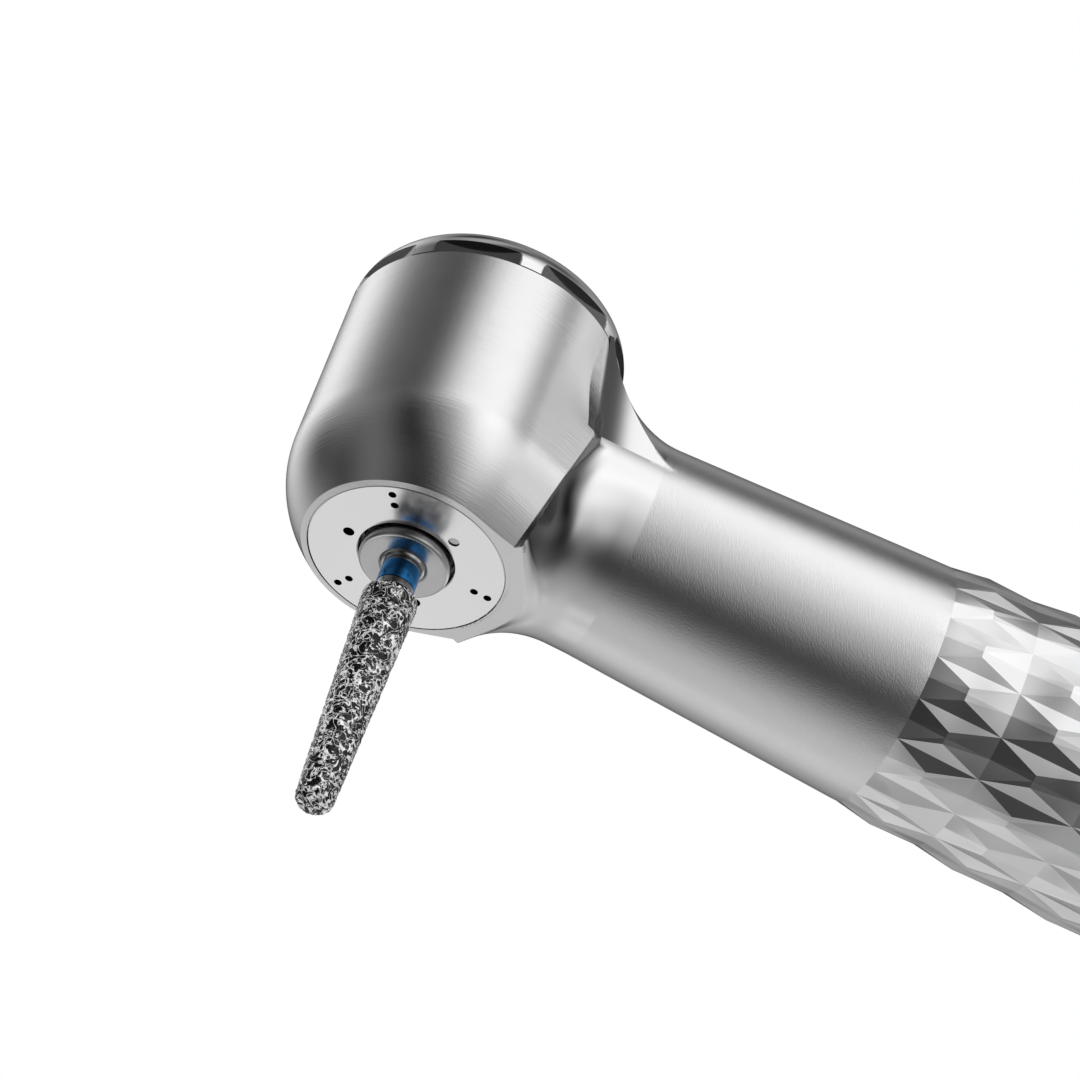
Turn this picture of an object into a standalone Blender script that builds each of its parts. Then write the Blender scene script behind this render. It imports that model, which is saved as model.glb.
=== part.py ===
"""Dental turbine handpiece: a push-button air turbine with a diamond-cut grip and a bur in its chuck.

The frame is the handle's own. X runs along the handle axis from the hose connector to the head, Z points
from the bur to the push button, and the origin is the centre of the connector's flat rear face.
Sizes are in millimetres and become metres where a mesh is made.
"""

import math

import bmesh
import bpy
from mathutils import Matrix, Vector

MM = 0.001

# Clearances
FIT = 0.03
RUNNING = 0.08
MATING = 0.06

# Head: a turned barrel whose sides run on as tangents towards the handle
HEAD_X = 110.0
HEAD_R = 6.05
HEAD_DROP = 5.48
HEAD_RISE = 6.46
TAPER_HEIGHT = 4.0
TAPER_POWER = 2.1
RIM_R = 4.476
SHOULDER_ANGLE = 67.0
SHOULDER_REACH = 4.81
SHOULDER_REACH_LOW = 3.44
SHOULDER_BLEND_LOW = 0.9
SHOULDER_BLEND_HIGH = 4.7
HEAD_SEGMENTS = 48
TAPER_LOOPS = 6
BARREL_LOOPS = 4

# Face plate in the head's underside
PLATE_R = 4.2
PLATE_THICKNESS = 0.5
FLOOR_THICKNESS = 0.5
CHAMFER_SLOPE = 0.17
CHAMFER_REACH = 3.2
NOSE_HOLE_R = 2.05
SPRAY_COUNT = 3
SPRAY_RADII = (3.10, 3.71)
SPRAY_HOLE_R = 0.17
AIR_PORT_R = 2.58
AIR_PORT_HOLE_R = 0.24
SPRAY_GROOVE_R = (2.35, 3.92)
SPRAY_GROOVE_DEPTH = 0.25

# Neck and tube
TUBE_R_AT_HEAD = 4.418
TUBE_GROWTH = 0.05
TOP_FILLET_R = 4.8
TOP_FILLET_END = 8.8
LOW_FILLET_R = 4.2
LOW_FILLET_END = 7.2
FLANK_INSET = 0.11
NECK_START = 3.2
NECK_WIDENING = 1.0
NECK_BORE_R = 2.9
NECK_BORE_START = 7.0
HALF_SEGMENTS = 18
NECK_LOOPS = 10
TUBE_LOOPS = 3

# Diamond-cut grip
GRIP_START = 21.26
GRIP_COLUMNS = 18
GRIP_PITCH = 3.76
GRIP_PITCH_STEP = 0.6
GRIP_PITCH_LONGEST = 5.6
GRIP_ROWS = 12
GRIP_TURN = 7.7
GRIP_R = 6.3
GRIP_SWELL = 25.0
MID_RING = 0.45
MID_RING_PROUD = 0.17
DIAMOND_SHARE = 0.72

# Rear of the handle
REAR_BAND_R = 6.0
SHELL_REAR_X = 14.0
RING_LENGTH = 5.4
RING_R = 5.95
RING_WALL = 1.3
RING_GROOVE = 0.35
HANDLE_BORE_R = RING_R - RING_WALL
HANDLE_BORE_END = 84.0
BLOCK_LENGTH = 19.0
SPIGOT_STEP = 0.2
SPIGOT_R = HANDLE_BORE_R - SPIGOT_STEP
SPIGOT_LENGTH = 8.2
CONNECTOR_CHAMFER = 0.4

# Connector holes, each a radius and a place across and up, and the tubes that fill them
DRIVE_HOLE_R = 1.30
DRIVE_HOLE_UP = 2.35
EXHAUST_HOLE_R = 1.60
EXHAUST_HOLE_DOWN = 2.15
SMALL_HOLE_R = 0.55
SMALL_HOLE_ACROSS = 2.55
SMALL_HOLE_UP = 0.25
DRIVE_HOLE = (DRIVE_HOLE_R, 0.0, DRIVE_HOLE_UP)
EXHAUST_HOLE = (EXHAUST_HOLE_R, 0.0, -EXHAUST_HOLE_DOWN)
WATER_HOLE = (SMALL_HOLE_R, SMALL_HOLE_ACROSS, SMALL_HOLE_UP)
CHIP_AIR_HOLE = (SMALL_HOLE_R, -SMALL_HOLE_ACROSS, SMALL_HOLE_UP)
TUBE_WIDEST_R = 1.05
TUBE_BEND_START = 14.0
TUBE_BEND_END = 2.0
TUBE_WALL = 0.3
TUBE_SEAT = 8.0
HEAD_JET_OFFSET = 2.0
TUBE_END_GAP = 0.5

# Turbine cartridge
BEARING_R = 3.175
BEARING_BORE_R = 1.5875
BEARING_WIDTH = 2.4
BEARING_OFFSET = 2.95
BALL_R = 0.5
BALL_COUNT = 7
BALL_PITCH_R = (BEARING_R + BEARING_BORE_R) / 2.0
LAND_GAP = 0.215
RACE_GAP = 0.06
CAGE_THICKNESS = 0.34
CAGE_WIDTH = 1.5
ORING_SECTION_R = 0.27
CHAMBER_R = 4.3
CHAMBER_HALF = 1.68
IMPELLER_HALF = 1.5
IMPELLER_HUB_R = 2.1
IMPELLER_TIP_R = 4.1
IMPELLER_BLADES = 12
BLADE_SHARE = 0.3
BLADE_SWEEP = 16.0
SPINDLE_BORE_R = 1.2
SPINDLE_TOP = 4.5
COLLET_BORE_R = 0.82
COLLET_TOP = 3.5
COLLET_COLLAR_R = 0.95
COLLET_COLLAR_DROP = 0.12
COLLET_SLITS = 3
COLLET_SLIT_WIDTH = 0.18
COLLET_SLIT_LENGTH = 5.2
NOSE_R = 1.92
NOSE_DROP = 0.45
NOSE_EDGE = 0.16
NOSE_WALL_R = 1.86

# Back cap, push button and chuck release
CAP_SKIRT_R = 4.85
CAP_SKIRT_WALL = 0.5
CAP_EDGE_STRAIGHT = 0.3
CAP_DOME_A = 2.0
CAP_DOME_B = 2.0
CAP_LEDGE_HEIGHT = 0.55
CAP_LEDGE_BORE_R = 2.5
CAP_CAVITY_R = 4.3
CAP_MOUTH_R = 3.9
CAP_MOUTH_HEIGHT = 0.75
FLAT_COUNT = 8
FLAT_DEPTH = 0.296
FLAT_DISTANCE = HEAD_R - FLAT_DEPTH
FLAT_HEIGHT = 0.7
FLAT_WIDTH = 4.4
FLAT_TURN = -2.4
BUTTON_FLANGE = 0.7
BUTTON_STROKE = 0.6
BUTTON_CROWN = 0.22
BUTTON_SKIN = 0.6
RELEASE_PIN_R = 0.8
RELEASE_GAP = 0.33
PUSHER_HEIGHT = 0.6
SPRING_WIRE_R = 0.16
SPRING_R = (3.2, 2.1)
SPRING_TURNS = 2.25
WAVE_WASHER_THICKNESS = 0.12
WAVE_WASHER_HEIGHT = 0.16
WAVE_COUNT = 3

# Bur
SHANK_R = 0.8
SHANK_TOP = 3.2
SHANK_END_DROP = 2.05
BAND_TOP_DROP = 0.72
BAND_HEIGHT = 0.92
BAND_PROUD = 0.02
BUR_TOP_DROP = 1.95
BUR_TOP_R = 1.16
BUR_TIP_R = 0.79
BUR_TIP_DROP = 13.45
BUR_SHOULDER = 0.35
BUR_TIP_ROUND = 0.55

# Derived levels, above and below the handle axis
FACE_Z = -HEAD_DROP
PLATE_TOP = FACE_Z + PLATE_THICKNESS
FLOOR_LOW = PLATE_TOP + FIT
FLOOR_TOP = FLOOR_LOW + FLOOR_THICKNESS
POCKET_R = BEARING_R + 2.0 * ORING_SECTION_R + 2.0 * FIT
NOSE_FACE = FACE_Z - NOSE_DROP
REAR_BEARING_TOP = BEARING_OFFSET + BEARING_WIDTH / 2.0
POCKET_TOP = REAR_BEARING_TOP + WAVE_WASHER_HEIGHT + WAVE_WASHER_THICKNESS + MATING
LEDGE_TOP = POCKET_TOP + CAP_LEDGE_HEIGHT
CAP_BASE = HEAD_RISE + MATING
CAP_DOME_Z = CAP_BASE + CAP_EDGE_STRAIGHT
BUTTON_FLANGE_LOW = LEDGE_TOP + BUTTON_STROKE + 2.0 * SPRING_WIRE_R + MATING
BUTTON_FLANGE_TOP = BUTTON_FLANGE_LOW + BUTTON_FLANGE
GRIP_END = GRIP_START + sum(
    min(GRIP_PITCH + GRIP_PITCH_STEP * row, GRIP_PITCH_LONGEST) for row in range(GRIP_ROWS)
)

PARTS = bpy.data.collections.new("Dental turbine handpiece")
CUTTERS = bpy.data.collections.new("Cutters")


def start_scene():
    """Clear the scene and link the two collections."""
    for old in list(bpy.data.objects):
        bpy.data.objects.remove(old)
    bpy.context.scene.collection.children.link(PARTS)
    bpy.context.scene.collection.children.link(CUTTERS)
    CUTTERS.hide_render = True


def material(name, colour, roughness, metallic=1.0):
    """Return a Principled material."""
    found = bpy.data.materials.get(name)
    if found:
        return found
    made = bpy.data.materials.new(name)
    made.use_nodes = True
    shader = made.node_tree.nodes["Principled BSDF"]
    shader.inputs["Base Color"].default_value = (*colour, 1.0)
    shader.inputs["Roughness"].default_value = roughness
    shader.inputs["Metallic"].default_value = metallic
    return made


def satin_steel():
    return material("satin steel", (0.72, 0.72, 0.72), 0.30)


def polished_steel():
    return material("polished steel", (0.82, 0.82, 0.82), 0.08)


def bearing_steel():
    return material("bearing steel", (0.66, 0.67, 0.68), 0.15)


def spring_steel():
    return material("spring steel", (0.55, 0.55, 0.56), 0.25)


def anodised_alloy():
    return material("anodised alloy", (0.62, 0.64, 0.66), 0.35)


def ceramic():
    return material("ceramic", (0.12, 0.12, 0.13), 0.12, 0.0)


def cage_polymer():
    return material("cage polymer", (0.42, 0.24, 0.10), 0.5, 0.0)


def seal_rubber():
    return material("seal rubber", (0.02, 0.02, 0.02), 0.6, 0.0)


def blue_enamel():
    return material("blue enamel", (0.02, 0.20, 0.60), 0.25, 0.0)


def diamond_grit():
    return material("diamond grit", (0.40, 0.40, 0.40), 0.45)


def add_object(name, data, finish, collection):
    """Link a new object that holds this data."""
    made = bpy.data.objects.new(name, data)
    collection.objects.link(made)
    if finish:
        made.data.materials.append(finish)
    if collection is CUTTERS:
        made.hide_render = True
        made.display_type = "WIRE"
    return made


def smooth(mesh, angle=30.0):
    """Shade a mesh smooth, with edges sharper than the angle kept."""
    mesh.shade_smooth()
    mesh.set_sharp_from_angle(angle=math.radians(angle))


def turned(name, profile, finish=None, steps=36, collection=None, along_x=False, x=HEAD_X, y=0.0):
    """Turn a profile of (radius, height) points, listed down its outer side.

    A profile that starts and ends on the axis makes a solid, any other makes a closed ring.
    """
    collection = collection or PARTS
    mesh = bpy.data.meshes.new(name)
    points = [(radius * MM, 0.0, height * MM) for radius, height in profile]
    edges = [(i, i + 1) for i in range(len(points) - 1)]
    if profile[0][0] > 0.0:
        edges.append((len(points) - 1, 0))
    mesh.from_pydata(points, edges, [])
    made = add_object(name, mesh, finish, collection)
    screw = made.modifiers.new("Turn", "SCREW")
    screw.axis = "Z"
    screw.steps = steps
    screw.render_steps = steps
    screw.use_merge_vertices = True
    screw.merge_threshold = 1e-6
    screw.use_smooth_shade = True
    if along_x:
        made.rotation_euler = (0.0, math.radians(90.0), 0.0)
        made.location = (0.0, y * MM, 0.0)
    else:
        made.location = (x * MM, y * MM, 0.0)
    return made


def drum(radius, low, high):
    """Profile of a plain cylinder between two heights."""
    return [(0.0, high), (radius, high), (radius, low), (0.0, low)]


def ring(inner, outer, low, high):
    """Profile of a plain ring between two heights."""
    return [(outer, high), (outer, low), (inner, low), (inner, high)]


def cut(target, cutter, operation="DIFFERENCE", solver="EXACT"):
    """Combine two objects with a Boolean."""
    boolean = target.modifiers.new(cutter.name, "BOOLEAN")
    boolean.operation = operation
    boolean.solver = solver
    boolean.object = cutter


def rod(name, radius, start, end, steps=12, finish=None, collection=None):
    """Make a straight cylinder from one point to another."""
    collection = collection or CUTTERS
    first, last = Vector(start) * MM, Vector(end) * MM
    axis = last - first
    mesh = bpy.data.meshes.new(name)
    shape = bmesh.new()
    turn = axis.to_track_quat("Z", "Y").to_matrix().to_4x4()
    bmesh.ops.create_cone(
        shape,
        cap_ends=True,
        segments=steps,
        radius1=radius * MM,
        radius2=radius * MM,
        depth=axis.length,
        matrix=Matrix.Translation((first + last) / 2.0) @ turn,
    )
    shape.to_mesh(mesh)
    shape.free()
    return add_object(name, mesh, finish, collection)


def joined(name, pieces, collection=None):
    """Join several separate cutters into one mesh."""
    mesh = bpy.data.meshes.new(name)
    shape = bmesh.new()
    for piece in pieces:
        shape.from_mesh(piece.data)
        data = piece.data
        bpy.data.objects.remove(piece)
        bpy.data.meshes.remove(data)
    shape.to_mesh(mesh)
    shape.free()
    return add_object(name, mesh, None, collection or CUTTERS)


def smoothstep(value):
    """Ease from 0 to 1 as the value goes from 0 to 1."""
    value = min(max(value, 0.0), 1.0)
    return value * value * (3.0 - 2.0 * value)


def tube_radius(s):
    """Radius of the turned handle at a distance s from the head axis."""
    if s <= GRIP_START:
        return TUBE_R_AT_HEAD + TUBE_GROWTH * s
    start = TUBE_R_AT_HEAD + TUBE_GROWTH * GRIP_START
    left = max(0.0, 1.0 - (s - GRIP_START) / GRIP_SWELL)
    return GRIP_R - (GRIP_R - start) * left * left


def fillet(s, radius, end):
    """Height of a concave arc that leaves the tube at a distance s and grows towards the head."""
    run = max(0.0, min(end - s, radius * 0.999))
    return radius - math.sqrt(radius * radius - run * run)


def head_radius(height):
    """Radius of the turned head at a height: straight above, and a taper down to the rim."""
    low = FACE_Z + (RIM_R - PLATE_R) * CHAMFER_SLOPE
    left = 1.0 - (max(height, low) - low) / (FACE_Z + TAPER_HEIGHT - low)
    return HEAD_R - (HEAD_R - RIM_R) * max(left, 0.0) ** TAPER_POWER


def shoulder_reach(height):
    """How far the shoulders reach towards the handle at a height."""
    share = (height - FACE_Z) / (SHOULDER_BLEND_LOW - FACE_Z)
    return SHOULDER_REACH_LOW + (SHOULDER_REACH - SHOULDER_REACH_LOW) * min(max(share, 0.0), 1.0)


def tangent_width(radius, s):
    """Half the width between the shoulders' tangents at a distance s from the head axis."""
    limit = math.radians(SHOULDER_ANGLE)
    return (radius - s * math.cos(limit)) / math.sin(limit)


def neck_section(s):
    """Return half a section of the neck, from straight down to straight up, as (across, up) points.

    The tube carries a fillet above and one below. Two flat flanks cut the upper fillet, and they meet
    the tube where it is widest, so the section has a corner at the top and the foot of each flank.
    Up to the head's shoulders the section stays inside them, and beyond them it widens evenly.
    """
    tube = tube_radius(s)
    flare = tube + fillet(s, TOP_FILLET_R, TOP_FILLET_END)
    flank = tube - FLANK_INSET
    foot = math.acos(flank / tube)
    corner = math.acos(flank / flare)
    sharp = smoothstep((flare - tube) / (2.0 * FLANK_INSET))
    below, beside = HALF_SEGMENTS // 2 + 1, 3
    angles = []
    for i in range(HALF_SEGMENTS + 1):
        even = -math.pi / 2.0 + math.pi * i / HALF_SEGMENTS
        if i <= below:
            placed = -math.pi / 2.0 + (foot + math.pi / 2.0) * i / below
        elif i <= below + beside:
            placed = foot + (corner - foot) * (i - below) / beside
        else:
            above = HALF_SEGMENTS - below - beside
            placed = corner + (math.pi / 2.0 - corner) * (i - below - beside) / above
        angles.append(even + (placed - even) * sharp)
    section = []
    for angle in angles:
        across, up = math.cos(angle), math.sin(angle)
        radius = tube + fillet(s, LOW_FILLET_R, LOW_FILLET_END) * smoothstep(-up)
        if up > 0.0:
            radius = max(tube, min(flare, flank / max(across, 1e-6)))
        height = max(radius * up, FACE_Z)
        wide = radius * across
        beyond = max(s - shoulder_reach(height), 0.0)
        wide = min(wide, tangent_width(head_radius(height), s) - FIT + NECK_WIDENING * beyond)
        section.append((wide, radius * up))
    return section


def ring_of_points(shape, s, section):
    """Add the vertices of a full section at a distance s from the head axis, from a half section."""
    whole = section + [(-across, up) for across, up in reversed(section[1:-1])]
    return [shape.verts.new(((HEAD_X - s) * MM, across * MM, up * MM)) for across, up in whole]


def skin(shape, first, second):
    """Join two loops of as many vertices with faces."""
    count = len(first)
    for i in range(count):
        j = (i + 1) % count
        shape.faces.new((first[i], first[j], second[j], second[i]))


def turned_loop(shape, s, radius, angles):
    """Add a loop of vertices on a circle about the handle axis."""
    return [
        shape.verts.new(((HEAD_X - s) * MM, radius * math.cos(a) * MM, radius * math.sin(a) * MM))
        for a in angles
    ]


def diamond_row(shape, front, s, pitch):
    """Add one row of cut diamonds behind a loop and return the loop that ends it.

    Each column's valley runs straight along the handle from one corner to the next. The diamond's two
    side points lie on a ring that stands proud between the corners, and a short arc of that ring joins
    one column's side point to the next.
    """
    step = 2.0 * math.pi / GRIP_COLUMNS
    start = -math.pi / 2.0 + math.radians(GRIP_TURN)
    proud = tube_radius(s) + (tube_radius(s + pitch) - tube_radius(s)) * MID_RING + MID_RING_PROUD
    half = step * DIAMOND_SHARE / 2.0
    mid_angles = [
        start + column * step + offset
        for column in range(GRIP_COLUMNS)
        for offset in (half, step / 2.0, step - half)
    ]
    middle = turned_loop(shape, s + pitch * MID_RING, proud, mid_angles)
    count = 2 * GRIP_COLUMNS
    angles = [start + i * step / 2.0 for i in range(count)]
    back = turned_loop(shape, s + pitch, tube_radius(s + pitch), angles)
    for column in range(GRIP_COLUMNS):
        corner, half_way, following = 2 * column, 2 * column + 1, (2 * column + 2) % count
        after, centre, before = middle[3 * column], middle[3 * column + 1], middle[3 * column + 2]
        last = middle[3 * column - 1]
        shape.faces.new((front[corner], front[half_way], centre, after))
        shape.faces.new((front[half_way], front[following], before, centre))
        shape.faces.new((after, centre, back[half_way], back[corner]))
        shape.faces.new((centre, before, back[following], back[half_way]))
        shape.faces.new((front[corner], after, back[corner]))
        shape.faces.new((front[corner], back[corner], last))
    return back


def handle_skin():
    """Make the solid of the neck, the tube and the diamond-cut grip."""
    shape = bmesh.new()
    arch = [NECK_START + (TOP_FILLET_END - NECK_START) * i / NECK_LOOPS for i in range(NECK_LOOPS + 1)]
    plain = [TOP_FILLET_END + (GRIP_START - TOP_FILLET_END) * i / TUBE_LOOPS for i in range(1, TUBE_LOOPS)]
    loops = [ring_of_points(shape, s, neck_section(s)) for s in arch + plain]
    start = -math.pi / 2.0 + math.radians(GRIP_TURN)
    angles = [start + i * math.pi / HALF_SEGMENTS for i in range(2 * HALF_SEGMENTS)]
    loops.append(turned_loop(shape, GRIP_START, tube_radius(GRIP_START), angles))
    for first, second in zip(loops, loops[1:]):
        skin(shape, first, second)
    shape.faces.new(loops[0])
    back, s = loops[-1], GRIP_START
    for row in range(GRIP_ROWS):
        pitch = min(GRIP_PITCH + GRIP_PITCH_STEP * row, GRIP_PITCH_LONGEST)
        back = diamond_row(shape, back, s, pitch)
        s += pitch
    rear_s = HEAD_X - SHELL_REAR_X
    for place, radius in ((0.35, GRIP_R), (0.8, REAR_BAND_R), (1.0, REAR_BAND_R)):
        loop = turned_loop(shape, s + (rear_s - s) * place, radius, angles)
        skin(shape, back, loop)
        back = loop
    shape.faces.new(list(reversed(back)))
    bmesh.ops.recalc_face_normals(shape, faces=shape.faces)
    bmesh.ops.triangulate(shape, faces=shape.faces)
    mesh = bpy.data.meshes.new("handle_skin")
    shape.to_mesh(mesh)
    shape.free()
    return add_object("handle_skin", mesh, None, CUTTERS)


def head_profile():
    """Return (radius, height) points of the head from its rim to past its top edge."""
    low = FACE_Z + (RIM_R - PLATE_R) * CHAMFER_SLOPE
    top = FACE_Z + TAPER_HEIGHT
    heights = [low + (top - low) * math.sin(math.pi / 2.0 * i / TAPER_LOOPS) for i in range(TAPER_LOOPS + 1)]
    heights += [top + (SHOULDER_BLEND_HIGH - top) * i / BARREL_LOOPS for i in range(1, BARREL_LOOPS + 1)]
    heights.append(HEAD_RISE + 1.0)
    return [(head_radius(height), height) for height in heights]


def shoulder_radius(radius, height, angle):
    """Radius of the head at an angle from the handle direction, with its tangent shoulders."""
    turn = abs(angle)
    limit = math.radians(SHOULDER_ANGLE)
    if turn >= limit:
        return radius
    reach = shoulder_reach(height)
    tangent = radius / math.cos(limit - turn)
    wide = max(radius * 0.98, min(tangent, reach / max(math.cos(turn), 1e-6)))
    fade = smoothstep((SHOULDER_BLEND_HIGH - height) / (SHOULDER_BLEND_HIGH - SHOULDER_BLEND_LOW))
    return radius + (wide - radius) * fade


def head_skin():
    """Make the solid of the head, from its underside to its top edge."""
    shape = bmesh.new()
    loops = []
    for radius, height in [(PLATE_R, FACE_Z)] + head_profile():
        loop = []
        for i in range(HEAD_SEGMENTS):
            angle = 2.0 * math.pi * i / HEAD_SEGMENTS
            towards_handle = math.atan2(math.sin(angle), -math.cos(angle))
            r = shoulder_radius(radius, height, towards_handle) if height > FACE_Z else radius
            loop.append(
                shape.verts.new(
                    ((HEAD_X + r * math.cos(angle)) * MM, r * math.sin(angle) * MM, height * MM)
                )
            )
        loops.append(loop)
    for first, second in zip(loops, loops[1:]):
        skin(shape, first, second)
    shape.faces.new(list(reversed(loops[0])))
    shape.faces.new(loops[-1])
    bmesh.ops.recalc_face_normals(shape, faces=shape.faces)
    bmesh.ops.triangulate(shape, faces=shape.faces)
    mesh = bpy.data.meshes.new("body_shell")
    shape.to_mesh(mesh)
    shape.free()
    return add_object("body_shell", mesh, satin_steel(), PARTS)


def bore_out(shell, cutter):
    """Cut the shell, whose many thin faces need the manifold solver."""
    cut(shell, cutter, "DIFFERENCE", "MANIFOLD")


def body_shell():
    """Make the one-piece outer body: head, neck, tube and grip, bored for what it holds."""
    shell = head_skin()
    cut(shell, handle_skin(), "UNION", "MANIFOLD")
    reach = PLATE_R + CHAMFER_REACH
    below = FACE_Z - 4.0
    underside = [
        (0.0, FLOOR_LOW),
        (PLATE_R, FLOOR_LOW),
        (PLATE_R, FACE_Z),
        (reach, FACE_Z + CHAMFER_REACH * CHAMFER_SLOPE),
        (reach, below),
        (0.0, below),
    ]
    bore_out(shell, turned("cut_underside", underside, steps=HEAD_SEGMENTS, collection=CUTTERS))
    over = drum(HEAD_R + 4.0, HEAD_RISE, HEAD_RISE + 6.0)
    bore_out(shell, turned("cut_top", over, collection=CUTTERS))
    bore = [
        (0.0, HEAD_RISE + 1.0),
        (CAP_SKIRT_R + FIT, HEAD_RISE + 1.0),
        (CAP_SKIRT_R + FIT, CHAMBER_HALF),
        (CHAMBER_R, CHAMBER_HALF),
        (CHAMBER_R, -CHAMBER_HALF),
        (POCKET_R, -CHAMBER_HALF),
        (POCKET_R, FLOOR_TOP),
        (NOSE_HOLE_R, FLOOR_TOP),
        (NOSE_HOLE_R, FACE_Z),
        (0.0, FACE_Z),
    ]
    bore_out(shell, turned("cut_head_bore", bore, steps=36, collection=CUTTERS))
    groove_inner, groove_outer = SPRAY_GROOVE_R
    groove = ring(groove_inner, groove_outer, FLOOR_LOW - 0.1, FLOOR_LOW + SPRAY_GROOVE_DEPTH)
    bore_out(shell, turned("cut_spray_groove", groove, steps=36, collection=CUTTERS))
    neck_x = HEAD_X - NECK_BORE_START
    bore_end = HANDLE_BORE_END
    handle = [
        (0.0, neck_x),
        (NECK_BORE_R, neck_x),
        (NECK_BORE_R, bore_end + (HANDLE_BORE_R - NECK_BORE_R)),
        (HANDLE_BORE_R, bore_end),
        (HANDLE_BORE_R, SHELL_REAR_X - 1.0),
        (0.0, SHELL_REAR_X - 1.0),
    ]
    bore_out(shell, turned("cut_handle_bore", handle, steps=30, collection=CUTTERS, along_x=True))
    drive, exhaust = DRIVE_HOLE[0], EXHAUST_HOLE[0] * 0.75
    jet = rod(
        "cut_drive_jet",
        drive * 0.7,
        (neck_x - 0.5, HEAD_JET_OFFSET, 0.0),
        (HEAD_X - CHAMBER_R * 0.7, HEAD_JET_OFFSET, 0.0),
    )
    bore_out(shell, jet)
    outlet = rod(
        "cut_exhaust",
        exhaust * 0.8,
        (neck_x - 0.5, -HEAD_JET_OFFSET + 0.3, 0.0),
        (HEAD_X - CHAMBER_R * 0.7, -HEAD_JET_OFFSET + 0.3, 0.0),
    )
    bore_out(shell, outlet)
    groove_mid = (groove_inner + groove_outer) / 2.0
    spray = rod(
        "cut_spray_passage",
        0.35,
        (neck_x - 0.6, 0.0, -NECK_BORE_R * 0.75),
        (HEAD_X - groove_mid, 0.0, FLOOR_LOW + SPRAY_GROOVE_DEPTH / 2.0),
    )
    bore_out(shell, spray)
    return shell


def spray_face_plate():
    """Make the polished plate under the head, with its spray pairs and air ports."""
    plate = turned(
        "spray_face_plate",
        ring(NOSE_HOLE_R, PLATE_R - FIT, FACE_Z, PLATE_TOP),
        polished_steel(),
        steps=HEAD_SEGMENTS,
    )
    drills = []
    for i in range(SPRAY_COUNT):
        spray_angle = math.pi + 2.0 * math.pi * i / SPRAY_COUNT
        port_angle = 2.0 * math.pi * i / SPRAY_COUNT
        for radius, hole, angle in (
            (SPRAY_RADII[0], SPRAY_HOLE_R, spray_angle),
            (SPRAY_RADII[1], SPRAY_HOLE_R, spray_angle),
            (AIR_PORT_R, AIR_PORT_HOLE_R, port_angle),
        ):
            x, y = HEAD_X + radius * math.cos(angle), radius * math.sin(angle)
            drills.append(rod("drill", hole, (x, y, FACE_Z - 0.5), (x, y, PLATE_TOP + 0.5), steps=8))
    cut(plate, joined("cut_spray_holes", drills))


def torus(name, radius, section, z, finish):
    """Make a sealing ring lying about the head axis."""
    profile = [
        (radius + section * math.sin(math.pi * i / 3), z + section * math.cos(math.pi * i / 3))
        for i in range(6)
    ]
    return turned(name, profile, finish, steps=20)


def ball_bearing(label, centre):
    """Make one ball bearing: two races with a groove each, a cage with pockets, and the balls."""
    low, high = centre - BEARING_WIDTH / 2.0, centre + BEARING_WIDTH / 2.0
    outer_land = BALL_PITCH_R + BALL_R - LAND_GAP
    inner_land = BALL_PITCH_R - BALL_R + LAND_GAP
    groove = BALL_R + RACE_GAP
    arc = [math.radians(a) for a in (-45, 0, 45)]
    outer = [(BEARING_R, high), (BEARING_R, low), (outer_land, low)]
    outer += [(BALL_PITCH_R + groove * math.cos(a), centre + groove * math.sin(a)) for a in arc]
    outer += [(outer_land, high)]
    turned(f"{label}_bearing_outer_ring", outer, bearing_steel(), steps=24)
    inner = [(inner_land, high)]
    inner += [(BALL_PITCH_R - groove * math.cos(a), centre - groove * math.sin(a)) for a in arc]
    inner += [(inner_land, low), (BEARING_BORE_R, low), (BEARING_BORE_R, high)]
    turned(f"{label}_bearing_inner_ring", inner, bearing_steel(), steps=24)
    half = CAGE_THICKNESS / 2.0
    cage = turned(
        f"{label}_bearing_cage",
        ring(BALL_PITCH_R - half, BALL_PITCH_R + half, centre - CAGE_WIDTH / 2.0, centre + CAGE_WIDTH / 2.0),
        cage_polymer(),
        steps=21,
    )
    pockets = []
    for i in range(BALL_COUNT):
        angle = 2.0 * math.pi * i / BALL_COUNT
        direction = Vector((math.cos(angle), math.sin(angle), 0.0))
        middle = Vector((HEAD_X, 0.0, centre))
        pockets.append(
            rod(
                "pocket",
                BALL_R + RUNNING,
                middle + direction * (BALL_PITCH_R - 1.0),
                middle + direction * (BALL_PITCH_R + 1.0),
                steps=8,
            )
        )
        mesh = bpy.data.meshes.new(f"{label}_ball_{i + 1}")
        shape = bmesh.new()
        bmesh.ops.create_uvsphere(shape, u_segments=8, v_segments=5, radius=BALL_R * MM)
        shape.to_mesh(mesh)
        shape.free()
        smooth(mesh, 60.0)
        ball = add_object(f"{label}_bearing_ball_{i + 1}", mesh, ceramic(), PARTS)
        ball.location = (middle + direction * BALL_PITCH_R) * MM
    cut(cage, joined(f"cut_{label}_pockets", pockets))


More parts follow.
